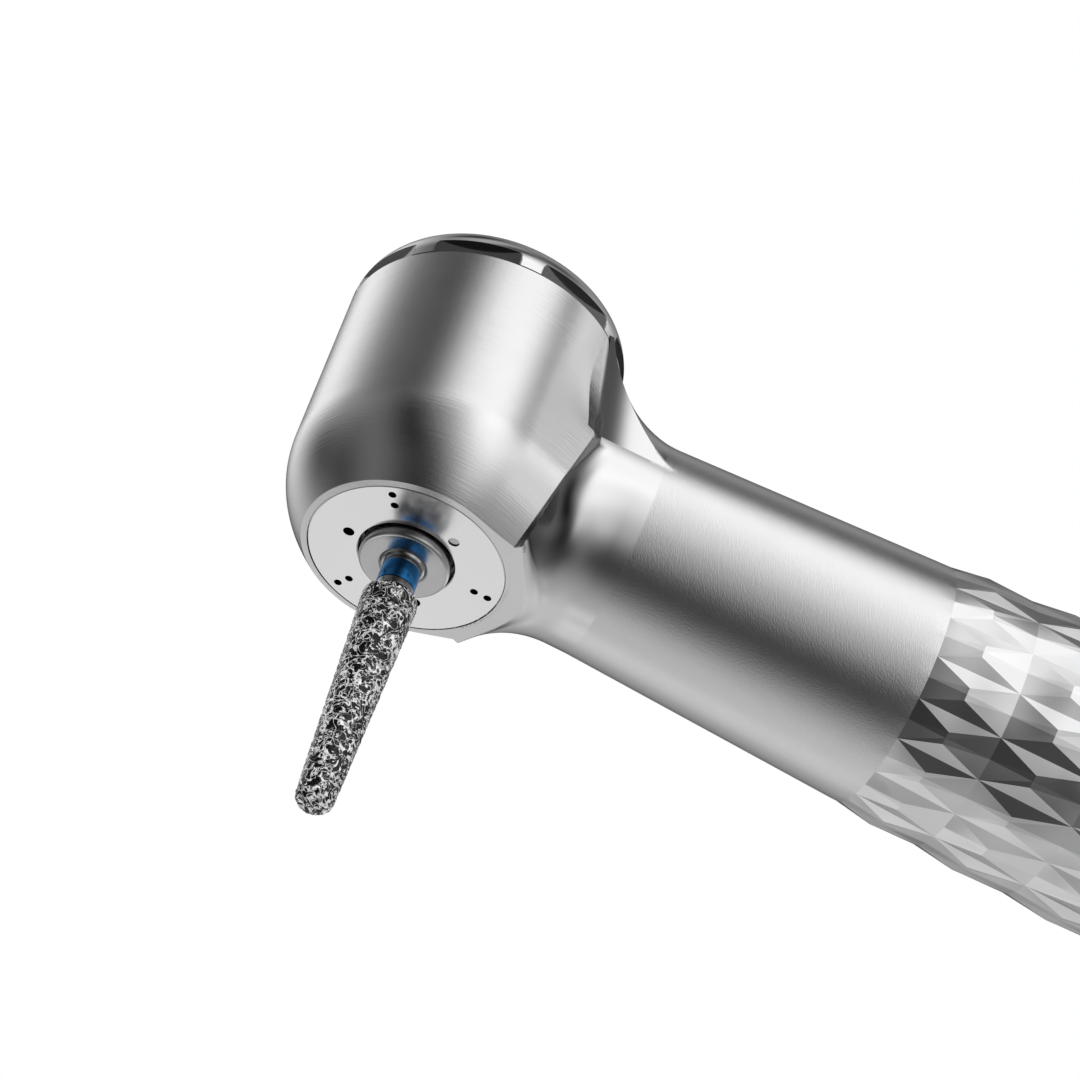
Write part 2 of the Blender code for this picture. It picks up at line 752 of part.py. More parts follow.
def impeller():
    """Make the turbine wheel: a bored hub with swept blades, drawn as one outline and extruded."""
    outline = []
    step = 2.0 * math.pi / IMPELLER_BLADES
    sweep = math.radians(BLADE_SWEEP)
    for blade in range(IMPELLER_BLADES):
        root = blade * step
        for share in (0.0, 0.35, 0.7, 1.0):
            radius = IMPELLER_HUB_R + (IMPELLER_TIP_R - IMPELLER_HUB_R) * share
            outline.append((radius, root + sweep * share * share))
        for share in (1.0, 0.7, 0.35, 0.0):
            radius = IMPELLER_HUB_R + (IMPELLER_TIP_R - IMPELLER_HUB_R) * share
            width = step * BLADE_SHARE * (1.0 - 0.45 * share)
            outline.append((radius, root + width + sweep * share * share))
        outline.append((IMPELLER_HUB_R, root + step * (1.0 + BLADE_SHARE) / 2.0))
    curve = bpy.data.curves.new("impeller", "CURVE")
    curve.dimensions = "2D"
    curve.fill_mode = "BOTH"
    curve.extrude = IMPELLER_HALF * MM
    hole = [(BEARING_BORE_R, -2.0 * math.pi * i / 24) for i in range(24)]
    for points in (outline, hole):
        spline = curve.splines.new("POLY")
        spline.points.add(len(points) - 1)
        for point, (radius, angle) in zip(spline.points, points):
            point.co = (radius * math.cos(angle) * MM, radius * math.sin(angle) * MM, 0.0, 1.0)
        spline.use_cyclic_u = True
    made = add_object("impeller", curve, anodised_alloy(), PARTS)
    made.location = (HEAD_X * MM, 0.0, 0.0)


def rotor():
    """Make what spins with the bur: the spindle, the wheel, the chuck collet and the nose disc."""
    spindle_r = BEARING_BORE_R - FIT
    spindle_low = NOSE_FACE + 0.45
    turned(
        "spindle",
        ring(SPINDLE_BORE_R, spindle_r, spindle_low, SPINDLE_TOP),
        bearing_steel(),
        steps=24,
    )
    impeller()
    collar_low = NOSE_FACE - COLLET_COLLAR_DROP
    collar_top = spindle_low - FIT
    barrel_r = SPINDLE_BORE_R - FIT
    collet = turned(
        "chuck_collet",
        [
            (barrel_r, COLLET_TOP),
            (barrel_r, spindle_low + 0.3),
            (COLLET_COLLAR_R, collar_top + 0.3),
            (COLLET_COLLAR_R, collar_low + 0.06),
            (COLLET_COLLAR_R - 0.06, collar_low),
            (COLLET_BORE_R, collar_low),
            (COLLET_BORE_R, COLLET_TOP),
        ],
        spring_steel(),
        steps=24,
    )
    slits = []
    for i in range(COLLET_SLITS):
        angle = 2.0 * math.pi * (i + 0.5) / COLLET_SLITS
        mesh = bpy.data.meshes.new("slit")
        shape = bmesh.new()
        low, high = COLLET_TOP - COLLET_SLIT_LENGTH, COLLET_TOP + 0.5
        place = Matrix.Translation((HEAD_X * MM, 0.0, (low + high) / 2.0 * MM))
        place = place @ Matrix.Rotation(angle, 4, "Z") @ Matrix.Translation((barrel_r * MM, 0.0, 0.0))
        size = Matrix.Diagonal((1.4 * MM, COLLET_SLIT_WIDTH * MM, (high - low) * MM, 1.0))
        bmesh.ops.create_cube(shape, size=1.0, matrix=place @ size)
        shape.to_mesh(mesh)
        shape.free()
        slits.append(add_object("slit", mesh, None, CUTTERS))
    cut(collet, joined("cut_collet_slits", slits))
    lip_r = COLLET_COLLAR_R + FIT
    front_bearing_low = -BEARING_OFFSET - BEARING_WIDTH / 2.0
    turned(
        "nose_disc",
        [
            (NOSE_WALL_R, front_bearing_low - FIT),
            (NOSE_WALL_R, PLATE_TOP),
            (NOSE_R, FACE_Z),
            (NOSE_R, NOSE_FACE + NOSE_EDGE),
            (NOSE_R - NOSE_EDGE * 0.3, NOSE_FACE + NOSE_EDGE * 0.3),
            (NOSE_R - NOSE_EDGE, NOSE_FACE),
            (lip_r, NOSE_FACE),
            (lip_r, spindle_low - FIT),
            (spindle_r + FIT, spindle_low - FIT),
            (spindle_r + FIT, front_bearing_low - FIT),
        ],
        satin_steel(),
        steps=36,
    )


def back_cap():
    """Make the screwed back cap: skirt, bearing pocket, ledge, button cavity and wrench flats."""
    skirt_low = CHAMBER_HALF + FIT
    dome = []
    dome_r = HEAD_R - CAP_DOME_A
    mouth_top = CAP_DOME_Z + CAP_DOME_B * math.sqrt(
        max(0.0, 1.0 - ((CAP_MOUTH_R + 0.25 - dome_r) / CAP_DOME_A) ** 2)
    )
    for i in range(6):
        share = math.radians(90.0 - 90.0 * i / 5.0)
        radius = dome_r + CAP_DOME_A * math.cos(share)
        if radius > CAP_MOUTH_R + 0.25:
            dome.append((radius, CAP_DOME_Z + CAP_DOME_B * math.sin(share)))
    mouth_low = BUTTON_FLANGE_TOP + MATING
    profile = [(CAP_MOUTH_R, mouth_top - 0.12), (CAP_MOUTH_R + 0.12, mouth_top)] + dome
    profile += [
        (HEAD_R, CAP_BASE),
        (CAP_SKIRT_R, CAP_BASE),
        (CAP_SKIRT_R, skirt_low),
        (POCKET_R, skirt_low),
        (POCKET_R, POCKET_TOP),
        (CAP_LEDGE_BORE_R, POCKET_TOP),
        (CAP_LEDGE_BORE_R, LEDGE_TOP),
        (CAP_CAVITY_R, LEDGE_TOP),
        (CAP_CAVITY_R, mouth_low),
        (CAP_MOUTH_R, mouth_low),
    ]
    cap = turned("back_cap", profile, polished_steel(), steps=HEAD_SEGMENTS)
    cuts = []
    for i in range(FLAT_COUNT):
        angle = 2.0 * math.pi * (i + 0.5) / FLAT_COUNT + math.radians(FLAT_TURN)
        mesh = bpy.data.meshes.new("flat")
        shape = bmesh.new()
        low, high = CAP_BASE - 0.5, CAP_BASE + FLAT_HEIGHT
        place = Matrix.Translation((HEAD_X * MM, 0.0, (low + high) / 2.0 * MM))
        place = place @ Matrix.Rotation(angle, 4, "Z")
        place = place @ Matrix.Translation(((FLAT_DISTANCE + 1.0) * MM, 0.0, 0.0))
        size = Matrix.Diagonal((2.0 * MM, FLAT_WIDTH * MM, (high - low) * MM, 1.0))
        bmesh.ops.create_cube(shape, size=1.0, matrix=place @ size)
        shape.to_mesh(mesh)
        shape.free()
        cuts.append(add_object("flat", mesh, None, CUTTERS))
    cut(cap, joined("cut_cap_flats", cuts))


def push_button():
    """Make the push button, its release pin and the spring under it."""
    body_r = CAP_MOUTH_R - RUNNING
    flange_r = CAP_CAVITY_R - RUNNING
    top = CAP_DOME_Z + CAP_DOME_B - 0.05
    crown = [
        (body_r * share, top + BUTTON_CROWN * (1.0 - share * share))
        for share in (0.0, 0.3, 0.6, 0.85)
    ]
    inner_r = body_r - BUTTON_SKIN
    recess = top - BUTTON_SKIN
    turned(
        "push_button",
        crown
        + [
            (body_r - 0.1, top - 0.02),
            (body_r, top - 0.12),
            (body_r, BUTTON_FLANGE_TOP),
            (flange_r, BUTTON_FLANGE_TOP),
            (flange_r, BUTTON_FLANGE_LOW),
            (inner_r, BUTTON_FLANGE_LOW),
            (inner_r, recess),
            (0.0, recess),
        ],
        polished_steel(),
        steps=36,
    )
    pin_low = SPINDLE_TOP + MATING + RELEASE_GAP
    turned(
        "release_pin",
        [
            (0.0, recess - FIT),
            (RELEASE_PIN_R * 1.6, recess - FIT),
            (RELEASE_PIN_R * 1.6, recess - 0.4),
            (RELEASE_PIN_R, recess - 0.4),
            (RELEASE_PIN_R, pin_low),
            (0.0, pin_low),
        ],
        bearing_steel(),
        steps=20,
    )
    pusher_r = SPINDLE_BORE_R - RUNNING
    turned(
        "chuck_pusher",
        drum(pusher_r, SPINDLE_TOP + MATING - PUSHER_HEIGHT, SPINDLE_TOP + MATING),
        bearing_steel(),
        steps=20,
    )
    low = LEDGE_TOP + SPRING_WIRE_R + FIT
    high = recess - SPRING_WIRE_R - FIT
    first_r = min(SPRING_R[0], inner_r - SPRING_WIRE_R - RUNNING)
    count = int(SPRING_TURNS * 12)
    curve = bpy.data.curves.new("button_spring", "CURVE")
    curve.dimensions = "3D"
    curve.bevel_depth = SPRING_WIRE_R * MM
    curve.bevel_resolution = 1
    curve.use_fill_caps = True
    spline = curve.splines.new("POLY")
    spline.points.add(count)
    for i, point in enumerate(spline.points):
        share = i / count
        angle = 2.0 * math.pi * SPRING_TURNS * share
        radius = first_r + (SPRING_R[1] - first_r) * share
        z = low + (high - low) * share
        point.co = (radius * math.cos(angle) * MM, radius * math.sin(angle) * MM, z * MM, 1.0)
    spring = add_object("button_spring", curve, spring_steel(), PARTS)
    spring.location = (HEAD_X * MM, 0.0, 0.0)


def wave_washer():
    """Make the wavy washer that loads the rear bearing."""
    shape = bmesh.new()
    steps = 30
    rings = []
    for radius, lift in (
        (BEARING_R - 0.1, WAVE_WASHER_THICKNESS),
        (BEARING_R - 0.1, 0.0),
        (CAP_LEDGE_BORE_R + 0.1, 0.0),
        (CAP_LEDGE_BORE_R + 0.1, WAVE_WASHER_THICKNESS),
    ):
        loop = []
        for i in range(steps):
            angle = 2.0 * math.pi * i / steps
            wave = WAVE_WASHER_HEIGHT / 2.0 * (1.0 + math.sin(WAVE_COUNT * angle))
            z = REAR_BEARING_TOP + FIT + wave + lift
            loop.append(
                shape.verts.new(
                    ((HEAD_X + radius * math.cos(angle)) * MM, radius * math.sin(angle) * MM, z * MM)
                )
            )
        rings.append(loop)
    for first, second in zip(rings, rings[1:] + rings[:1]):
        skin(shape, first, second)
    bmesh.ops.recalc_face_normals(shape, faces=shape.faces)
    mesh = bpy.data.meshes.new("preload_washer")
    shape.to_mesh(mesh)
    shape.free()
    add_object("preload_washer", mesh, spring_steel(), PARTS)


def bur():
    """Make the friction-grip bur: shank, colour band and diamond-coated taper."""
    shank_end = FACE_Z - SHANK_END_DROP
    band_top = FACE_Z - BAND_TOP_DROP
    band_low = band_top - BAND_HEIGHT
    waist = SHANK_R - FIT
    turned(
        "bur_shank",
        [
            (0.0, SHANK_TOP),
            (SHANK_R - 0.15, SHANK_TOP),
            (SHANK_R, SHANK_TOP - 0.2),
            (SHANK_R, band_top + FIT),
            (waist - FIT, band_top + FIT),
            (waist - FIT, band_low - FIT),
            (SHANK_R, band_low - FIT),
            (SHANK_R, shank_end),
            (0.0, shank_end),
        ],
        bearing_steel(),
        steps=24,
    )
    turned(
        "bur_colour_band",
        ring(waist, SHANK_R + BAND_PROUD, band_low, band_top),
        blue_enamel(),
        steps=24,
    )
    grit_top = FACE_Z - BUR_TOP_DROP - SHANK_END_DROP + BUR_TOP_DROP - FIT
    tip = FACE_Z - BUR_TIP_DROP
    shoulder = grit_top - BUR_SHOULDER
    profile = [(0.0, grit_top)]
    for i in range(5):
        a = math.radians(90.0 - 90.0 * i / 4.0)
        profile.append(
            (BUR_TOP_R - BUR_SHOULDER + BUR_SHOULDER * math.cos(a), shoulder + BUR_SHOULDER * math.sin(a))
        )
    for i in range(5):
        a = math.radians(90.0 * i / 4.0)
        radius = BUR_TIP_R - BUR_TIP_ROUND + BUR_TIP_ROUND * math.cos(a)
        profile.append((radius, tip + BUR_TIP_ROUND - BUR_TIP_ROUND * math.sin(a)))
    profile.append((0.0, tip))
    turned("bur_diamond_head", profile, diamond_grit(), steps=24)


def connector():
    """Make the four-hole hose connector and the ring that clamps the shell to it."""
    ring_x = SHELL_REAR_X - MATING - RING_LENGTH
    block_r = HANDLE_BORE_R - FIT
    block = turned(
        "connector_block",
        [
            (0.0, BLOCK_LENGTH),
            (block_r - CONNECTOR_CHAMFER, BLOCK_LENGTH),
            (block_r, BLOCK_LENGTH - CONNECTOR_CHAMFER),
            (block_r, SPIGOT_LENGTH),
            (SPIGOT_R, SPIGOT_LENGTH),
            (SPIGOT_R, CONNECTOR_CHAMFER),
            (SPIGOT_R - CONNECTOR_CHAMFER, 0.0),
            (0.0, 0.0),
        ],
        bearing_steel(),
        steps=30,
        along_x=True,
    )
    drills = [
        rod("bore", radius, (-1.0, across, up), (BLOCK_LENGTH + 1.0, across, up), steps=16)
        for radius, across, up in (DRIVE_HOLE, EXHAUST_HOLE, WATER_HOLE, CHIP_AIR_HOLE)
    ]
    cut(block, joined("cut_connector_holes", drills))
    groove_x = ring_x + RING_LENGTH / 2.0
    turned(
        "rear_ring",
        [
            (HANDLE_BORE_R, ring_x + RING_LENGTH),
            (RING_R, ring_x + RING_LENGTH),
            (RING_R, groove_x + 2.0 * RING_GROOVE),
            (RING_R - RING_GROOVE, groove_x + RING_GROOVE),
            (RING_R - RING_GROOVE, groove_x - RING_GROOVE),
            (RING_R, groove_x - 2.0 * RING_GROOVE),
            (RING_R, ring_x + CONNECTOR_CHAMFER),
            (RING_R - CONNECTOR_CHAMFER, ring_x),
            (HANDLE_BORE_R, ring_x),
        ],
        polished_steel(),
        steps=30,
        along_x=True,
    )


def pipe(name, hole, finish, head_place):
    """Make a bent tube from its seat in the connector to the neck, as a hollow solid."""
    hole_r, across, up = hole
    outer = min(hole_r - FIT, TUBE_WIDEST_R)
    inner = outer - min(TUBE_WALL, outer * 0.45)
    head_across, head_up = head_place
    neck_x = HEAD_X - NECK_BORE_START - TUBE_END_GAP
    bend_start, bend_end = HANDLE_BORE_END - TUBE_BEND_START, HANDLE_BORE_END - TUBE_BEND_END
    route = [(TUBE_SEAT, 0.0), (bend_start, 0.0)]
    route += [(bend_start + (bend_end - bend_start) * i / 4.0, smoothstep(i / 4.0)) for i in range(1, 4)]
    route += [(bend_end, 1.0), (neck_x, 1.0)]
    shape = bmesh.new()
    sides = 6
    walls = []
    for radius in (outer, inner):
        loops = []
        for x, share in route:
            y = across + (head_across - across) * share
            z = up + (head_up - up) * share
            loops.append(
                [
                    shape.verts.new(
                        (
                            x * MM,
                            (y + radius * math.cos(2.0 * math.pi * i / sides)) * MM,
                            (z + radius * math.sin(2.0 * math.pi * i / sides)) * MM,
                        )
                    )
                    for i in range(sides)
                ]
            )
        for first, second in zip(loops, loops[1:]):
            skin(shape, first, second)
        walls.append(loops)
    skin(shape, walls[0][0], walls[1][0])
    skin(shape, walls[0][-1], walls[1][-1])
    bmesh.ops.recalc_face_normals(shape, faces=shape.faces)
    mesh = bpy.data.meshes.new(name)
    shape.to_mesh(mesh)
    shape.free()
    add_object(name, mesh, finish, PARTS)


def pipes():
    """Make the air and water tubes inside the handle."""
    room = NECK_BORE_R
    pipe("drive_air_tube", DRIVE_HOLE, bearing_steel(), (0.397 * room, 0.465 * room))
    pipe("exhaust_tube", EXHAUST_HOLE, bearing_steel(), (-0.345 * room, -0.465 * room))
    pipe("water_tube", WATER_HOLE, bearing_steel(), (0.603 * room, -0.328 * room))
    pipe("chip_air_tube", CHIP_AIR_HOLE, bearing_steel(), (-0.603 * room, 0.293 * room))


def main():
    """Build the handpiece."""
    start_scene()
    body_shell()
    spray_face_plate()
    for label, side in (("front", -1.0), ("rear", 1.0)):
        centre = side * BEARING_OFFSET
        ball_bearing(label, centre)
        seat_r = BEARING_R + FIT + ORING_SECTION_R
        torus(f"{label}_bearing_oring", seat_r, ORING_SECTION_R, centre, seal_rubber())
    rotor()
    back_cap()
    wave_washer()
    push_button()
    bur()
    connector()
    pipes()
    smooth(bpy.data.objects["body_shell"].data)


main()
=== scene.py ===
"""Looks of a dental turbine handpiece: satin steel, a diamond-cut grip, a chromed cap and a gritted bur.

Every length here is in millimetres and in the handpiece's own frame, and becomes metres where a mesh is
made. X runs along the handle from the hose connector to the head, and Z points from the bur to the button.
"""

import logging
import math
from dataclasses import dataclass, field
from enum import Enum

import bmesh
import bpy
import numpy as np
from mathutils import Matrix, Vector
from mathutils.geometry import delaunay_2d_cdt


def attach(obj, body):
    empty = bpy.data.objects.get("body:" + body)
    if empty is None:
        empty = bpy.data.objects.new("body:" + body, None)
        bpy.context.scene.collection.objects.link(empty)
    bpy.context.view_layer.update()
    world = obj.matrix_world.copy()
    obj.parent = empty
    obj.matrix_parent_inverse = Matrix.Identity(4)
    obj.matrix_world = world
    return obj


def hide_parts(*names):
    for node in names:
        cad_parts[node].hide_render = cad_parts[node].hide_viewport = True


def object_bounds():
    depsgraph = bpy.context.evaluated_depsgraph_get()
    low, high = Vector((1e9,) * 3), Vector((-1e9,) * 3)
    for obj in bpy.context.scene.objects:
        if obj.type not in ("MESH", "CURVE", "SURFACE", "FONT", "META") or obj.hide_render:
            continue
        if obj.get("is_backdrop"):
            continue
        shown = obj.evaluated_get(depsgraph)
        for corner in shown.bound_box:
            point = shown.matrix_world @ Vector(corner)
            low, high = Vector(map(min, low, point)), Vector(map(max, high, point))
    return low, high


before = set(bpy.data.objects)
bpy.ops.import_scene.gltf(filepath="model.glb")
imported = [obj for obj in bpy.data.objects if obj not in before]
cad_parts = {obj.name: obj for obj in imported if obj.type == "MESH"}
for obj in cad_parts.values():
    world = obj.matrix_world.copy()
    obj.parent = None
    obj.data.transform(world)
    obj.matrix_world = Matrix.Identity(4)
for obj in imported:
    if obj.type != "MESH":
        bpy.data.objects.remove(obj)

LOG = logging.getLogger("handpiece")
MM = 0.001
HEAD_X = 110.0
FACE_Z = -5.48


class Body(Enum):
    """The bodies that pieces ride on."""

    HANDLE = "handle"
    ROTOR = "rotor"
    BUTTON = "button"
    BUR = "bur"


class Slot(Enum):
    """The record's material slots."""

    SATIN = "satin_steel"
    POLISHED = "polished_steel"
    GROUND = "bearing_steel"
    RUBBER = "seal_rubber"
    ENAMEL = "blue_enamel"
    GRIT = "diamond_grit"


def ease(value: np.ndarray) -> np.ndarray:
    """Ease from 0 to 1: three times the square less twice the cube, held flat outside that span.

    Args:
        value: Numbers of any shape.

    Returns:
        The eased numbers.
    """
    held = np.clip(value, 0.0, 1.0)
    return held * held * (3.0 - 2.0 * held)


@dataclass(frozen=True)
class Fade:
    """A share that eases from 1 down to 0 over a span."""

    start: float
    length: float

    def at(self, value: np.ndarray) -> np.ndarray:
        """Give the share at each value."""
        return 1.0 - ease((value - self.start) / self.length)


@dataclass
class Skin:
    """A mesh under construction, gathered from grids and flat facets of points in millimetres."""

    points: list[np.ndarray] = field(default_factory=list)
    faces: list[np.ndarray] = field(default_factory=list)
    flat: list[np.ndarray] = field(default_factory=list)
    tone: list[np.ndarray] = field(default_factory=list)
    total: int = 0

    def grid(
        self,
        points: np.ndarray,
        wrap_rows: bool = False,
        wrap_columns: bool = False,
        tone: int | np.ndarray = 0,
    ) -> None:
        """Add a grid of quads, where point (i, j) joins its neighbours in the next row and column.

        Args:
            points: The grid, of shape (rows, columns, 3).
            wrap_rows: Whether the last row joins the first.
            wrap_columns: Whether the last column joins the first.
            tone: Which of the piece's materials the quads have, one number for all or one for each.
        """
        rows, columns = points.shape[:2]
        index = np.arange(rows * columns).reshape(rows, columns) + self.total
        if wrap_rows:
            index = np.vstack([index, index[:1]])
        if wrap_columns:
            index = np.hstack([index, index[:, :1]])
        quads = np.stack([index[:-1, :-1], index[:-1, 1:], index[1:, 1:], index[1:, :-1]], axis=-1)
        self.points.append(points.reshape(-1, 3))
        self.faces.append(quads.reshape(-1, 4))
        self.flat.append(np.zeros(len(self.faces[-1]), bool))
        self.tone.append(np.zeros(len(self.faces[-1]), int) + np.asarray(tone).reshape(-1))
        self.total += rows * columns

    def facets(self, points: np.ndarray, faces: np.ndarray) -> None:
        """Add flat facets.

        Args:
            points: Their corners, of shape (count, 3).
            faces: Four corner numbers a facet, with the last repeated where it has three.
        """
        self.points.append(points)
        self.faces.append(faces + self.total)
        self.flat.append(np.ones(len(faces), bool))
        self.tone.append(np.zeros(len(faces), int))
        self.total += len(points)

    def make(self, name: str, sharp: float = 30.0, recalculate: bool = True) -> bpy.types.Object:
        """Turn what was gathered into an object at the origin.

        Args:
            name: The object's name.
            sharp: Edges that turn more than this angle, in degrees, stay sharp.
            recalculate: Whether the faces are turned to point outwards.

        Returns:
            The new object.
        """
        mesh = bpy.data.meshes.new(name)
        points = np.concatenate(self.points) * MM
        faces = np.concatenate(self.faces)
        mesh.from_pydata(points.tolist(), [], [list(dict.fromkeys(face)) for face in faces.tolist()])
        mesh.polygons.foreach_set("use_smooth", ~np.concatenate(self.flat))
        mesh.polygons.foreach_set("material_index", np.concatenate(self.tone).astype(np.int32))
        shape = bmesh.new()
        shape.from_mesh(mesh)
        bmesh.ops.remove_doubles(shape, verts=shape.verts, dist=2e-7)
        bmesh.ops.dissolve_degenerate(shape, edges=shape.edges, dist=1e-8)
        if recalculate:
            bmesh.ops.recalc_face_normals(shape, faces=shape.faces)
        shape.to_mesh(mesh)
        shape.free()
        smooth = np.zeros(len(mesh.polygons), bool)
        mesh.polygons.foreach_get("use_smooth", smooth)
        mesh.set_sharp_from_angle(angle=math.radians(sharp))
        mesh.polygons.foreach_set("use_smooth", smooth)
        made = bpy.data.objects.new(name, mesh)
        bpy.context.scene.collection.objects.link(made)
        return made


def turned(profile: np.ndarray, columns: int = 160, along_x: bool = False) -> np.ndarray:
    """Turn a profile round an axis: each point becomes a circle of its radius at its height.

    Args:
        profile: Rows of (radius, height).
        columns: How many points a circle has.
        along_x: Whether the axis is the handle's and not the head's.

    Returns:
        A grid of points with one row for each profile point.
    """
    angle = np.arange(columns) * 2.0 * np.pi / columns
    radius, height = profile[:, :1], profile[:, 1:2] + 0.0 * angle
    if along_x:
        return np.stack([height, radius * np.cos(angle), radius * np.sin(angle)], axis=-1)
    return np.stack([HEAD_X + radius * np.cos(angle), radius * np.sin(angle), height], axis=-1)


def bow(angle: np.ndarray, middle: tuple[float, float], across: float, up: float) -> np.ndarray:
    """Draw part of an ellipse in a profile.

    Args:
        angle: The angle of each point, in radians.
        middle: The ellipse's middle as (radius, height).
        across: Its size outwards.
        up: Its size upwards, negative where it runs downwards.

    Returns:
        Rows of (radius, height).
    """
    return np.stack([middle[0] + across * np.cos(angle), middle[1] + up * np.sin(angle)], axis=1)


def line(start: np.ndarray, end: np.ndarray, count: int) -> np.ndarray:
    """Draw a straight line in a profile as evenly spaced points with both ends."""
    return np.linspace(start, end, count)


def rounded(profile: list[tuple[float, float]], radius: float, closed: bool, steps: int = 4) -> np.ndarray:
    """Round a profile's corners: each becomes a quadratic curve between points beside it.

    Args:
        profile: The corners as (radius, height).
        radius: How far from a corner its rounding starts, at most a third of the shorter side.
        closed: Whether the last corner joins the first.
        steps: How many spans a rounding has.

    Returns:
        The rounded profile as rows of (radius, height).
    """
    corners = np.array(profile, float)
    before, after = np.roll(corners, 1, axis=0), np.roll(corners, -1, axis=0)
    lead, follow = before - corners, after - corners
    lead_length = np.linalg.norm(lead, axis=1, keepdims=True)
    follow_length = np.linalg.norm(follow, axis=1, keepdims=True)
    reach = np.minimum(radius, np.minimum(lead_length, follow_length) / 3.0)
    if not closed:
        reach[[0, -1]] = 0.0
    start = corners + lead / np.maximum(lead_length, 1e-9) * reach
    end = corners + follow / np.maximum(follow_length, 1e-9) * reach
    share = np.linspace(0.0, 1.0, steps + 1)[None, :, None]
    curve = (1 - share) ** 2 * start[:, None] + 2 * share * (1 - share) * corners[:, None]
    curve = (curve + share**2 * end[:, None]).reshape(-1, 2)
    moved = np.linalg.norm(np.diff(curve, axis=0), axis=1) > 1e-6
    return curve[np.concatenate([[True], moved])]


Value = float | tuple[float, ...] | list[float] | bpy.types.NodeSocket | None
WHITE = (1.0, 1.0, 1.0, 1.0)


class Graph:
    """The nodes of one material or world, and short ways to add to them."""

    def __init__(self, tree: bpy.types.NodeTree) -> None:
        """Keep the tree that the nodes go into."""
        self.tree = tree

    @classmethod
    def material(cls, name: str) -> tuple[bpy.types.Material, "Graph"]:
        """Start a material with its surface shader, and return it with its graph."""
        made = bpy.data.materials.new(name)
        made.use_nodes = True
        return made, cls(made.node_tree)

    def put(self, socket: bpy.types.NodeSocket, value: Value) -> None:
        """Join a socket to another one, or set its own value, or leave it where there is none."""
        if isinstance(value, bpy.types.NodeSocket):
            self.tree.links.new(value, socket)
        elif value is not None:
            socket.default_value = value

    def add(
        self, kind: str, inputs: dict[str | int, Value], output: str | int = 0, operation: str = ""
    ) -> bpy.types.NodeSocket:
        """Add a node.

        Args:
            kind: The node's type.
            inputs: What goes into its sockets, by their names or numbers.
            output: Which of its outputs is wanted.
            operation: What it works out, where it has a choice.

        Returns:
            The output.
        """
        node = self.tree.nodes.new("ShaderNode" + kind)
        if operation:
            node.operation = operation
        for key, value in inputs.items():
            self.put(node.inputs[key], value)
        return node.outputs[output]

    def shade(self, inputs: dict[str, Value]) -> None:
        """Fill sockets of the surface shader."""
        for key, value in inputs.items():
            self.put(self.tree.nodes["Principled BSDF"].inputs[key], value)

    def place(self) -> bpy.types.NodeSocket:
        """Return the place on the object, in metres."""
        return self.add("TexCoord", {}, "Object")

    def compute(self, operation: str, *values: Value) -> bpy.types.NodeSocket:
        """Work out a number from up to three values."""
        return self.add("Math", dict(enumerate(values)), operation=operation)

    def span(
        self, value: Value, start: float, end: float, low: float = 0.0, high: float = 1.0
    ) -> bpy.types.NodeSocket:
        """Map a value evenly onto another span and hold it at the ends.

        Args:
            value: The value.
            start: What it becomes at the low end.
            end: What it becomes at the high end.
            low: The low end.
            high: The high end.

        Returns:
            The mapped value.
        """
        sizes = {"From Min": low, "From Max": high, "To Min": start, "To Max": end}
        return self.add("MapRange", {"Value": value, **sizes}, "Result")

    def noise(self, place: Value, size: float, detail: float, twist: float = 0.0) -> bpy.types.NodeSocket:
        """Add a noise over a place.

        Args:
            place: The coordinates that it reads.
            size: How large its features are, in millimetres.
            detail: How many finer layers it has.
            twist: How much it is distorted.

        Returns:
            The noise, from 0 to 1.
        """
        inputs = {"Vector": place, "Scale": 1.0 / (size * MM), "Detail": detail, "Distortion": twist}
        return self.add("TexNoise", inputs)

    def bump(
        self, height: Value, strength: Value, normal: Value, distance: float = 0.01
    ) -> bpy.types.NodeSocket:
        """Add a relief.

        Args:
            height: The relief's height.
            strength: How much of it shows.
            normal: A normal that it adds to, if any.
            distance: How deep it is at full strength, in millimetres.

        Returns:
            The new normal.
        """
        inputs = {"Strength": strength, "Distance": distance * MM, "Height": height, "Normal": normal}
        return self.add("Bump", inputs)

    def ramp(self, value: Value, *stops: tuple[float, tuple[float, float, float]]) -> bpy.types.NodeSocket:
        """Colour a value by a ramp.

        Args:
            value: The value.
            *stops: The first and the last place with their colours, then any between them.

        Returns:
            The colour.
        """
        colour = self.add("ValToRGB", {"Fac": value}, "Color")
        elements = colour.node.color_ramp.elements
        for i, (position, tint) in enumerate(stops):
            stop = elements[i] if i < 2 else elements.new(position)
            stop.position = position
            stop.color = (*tint, 1.0)
        return colour


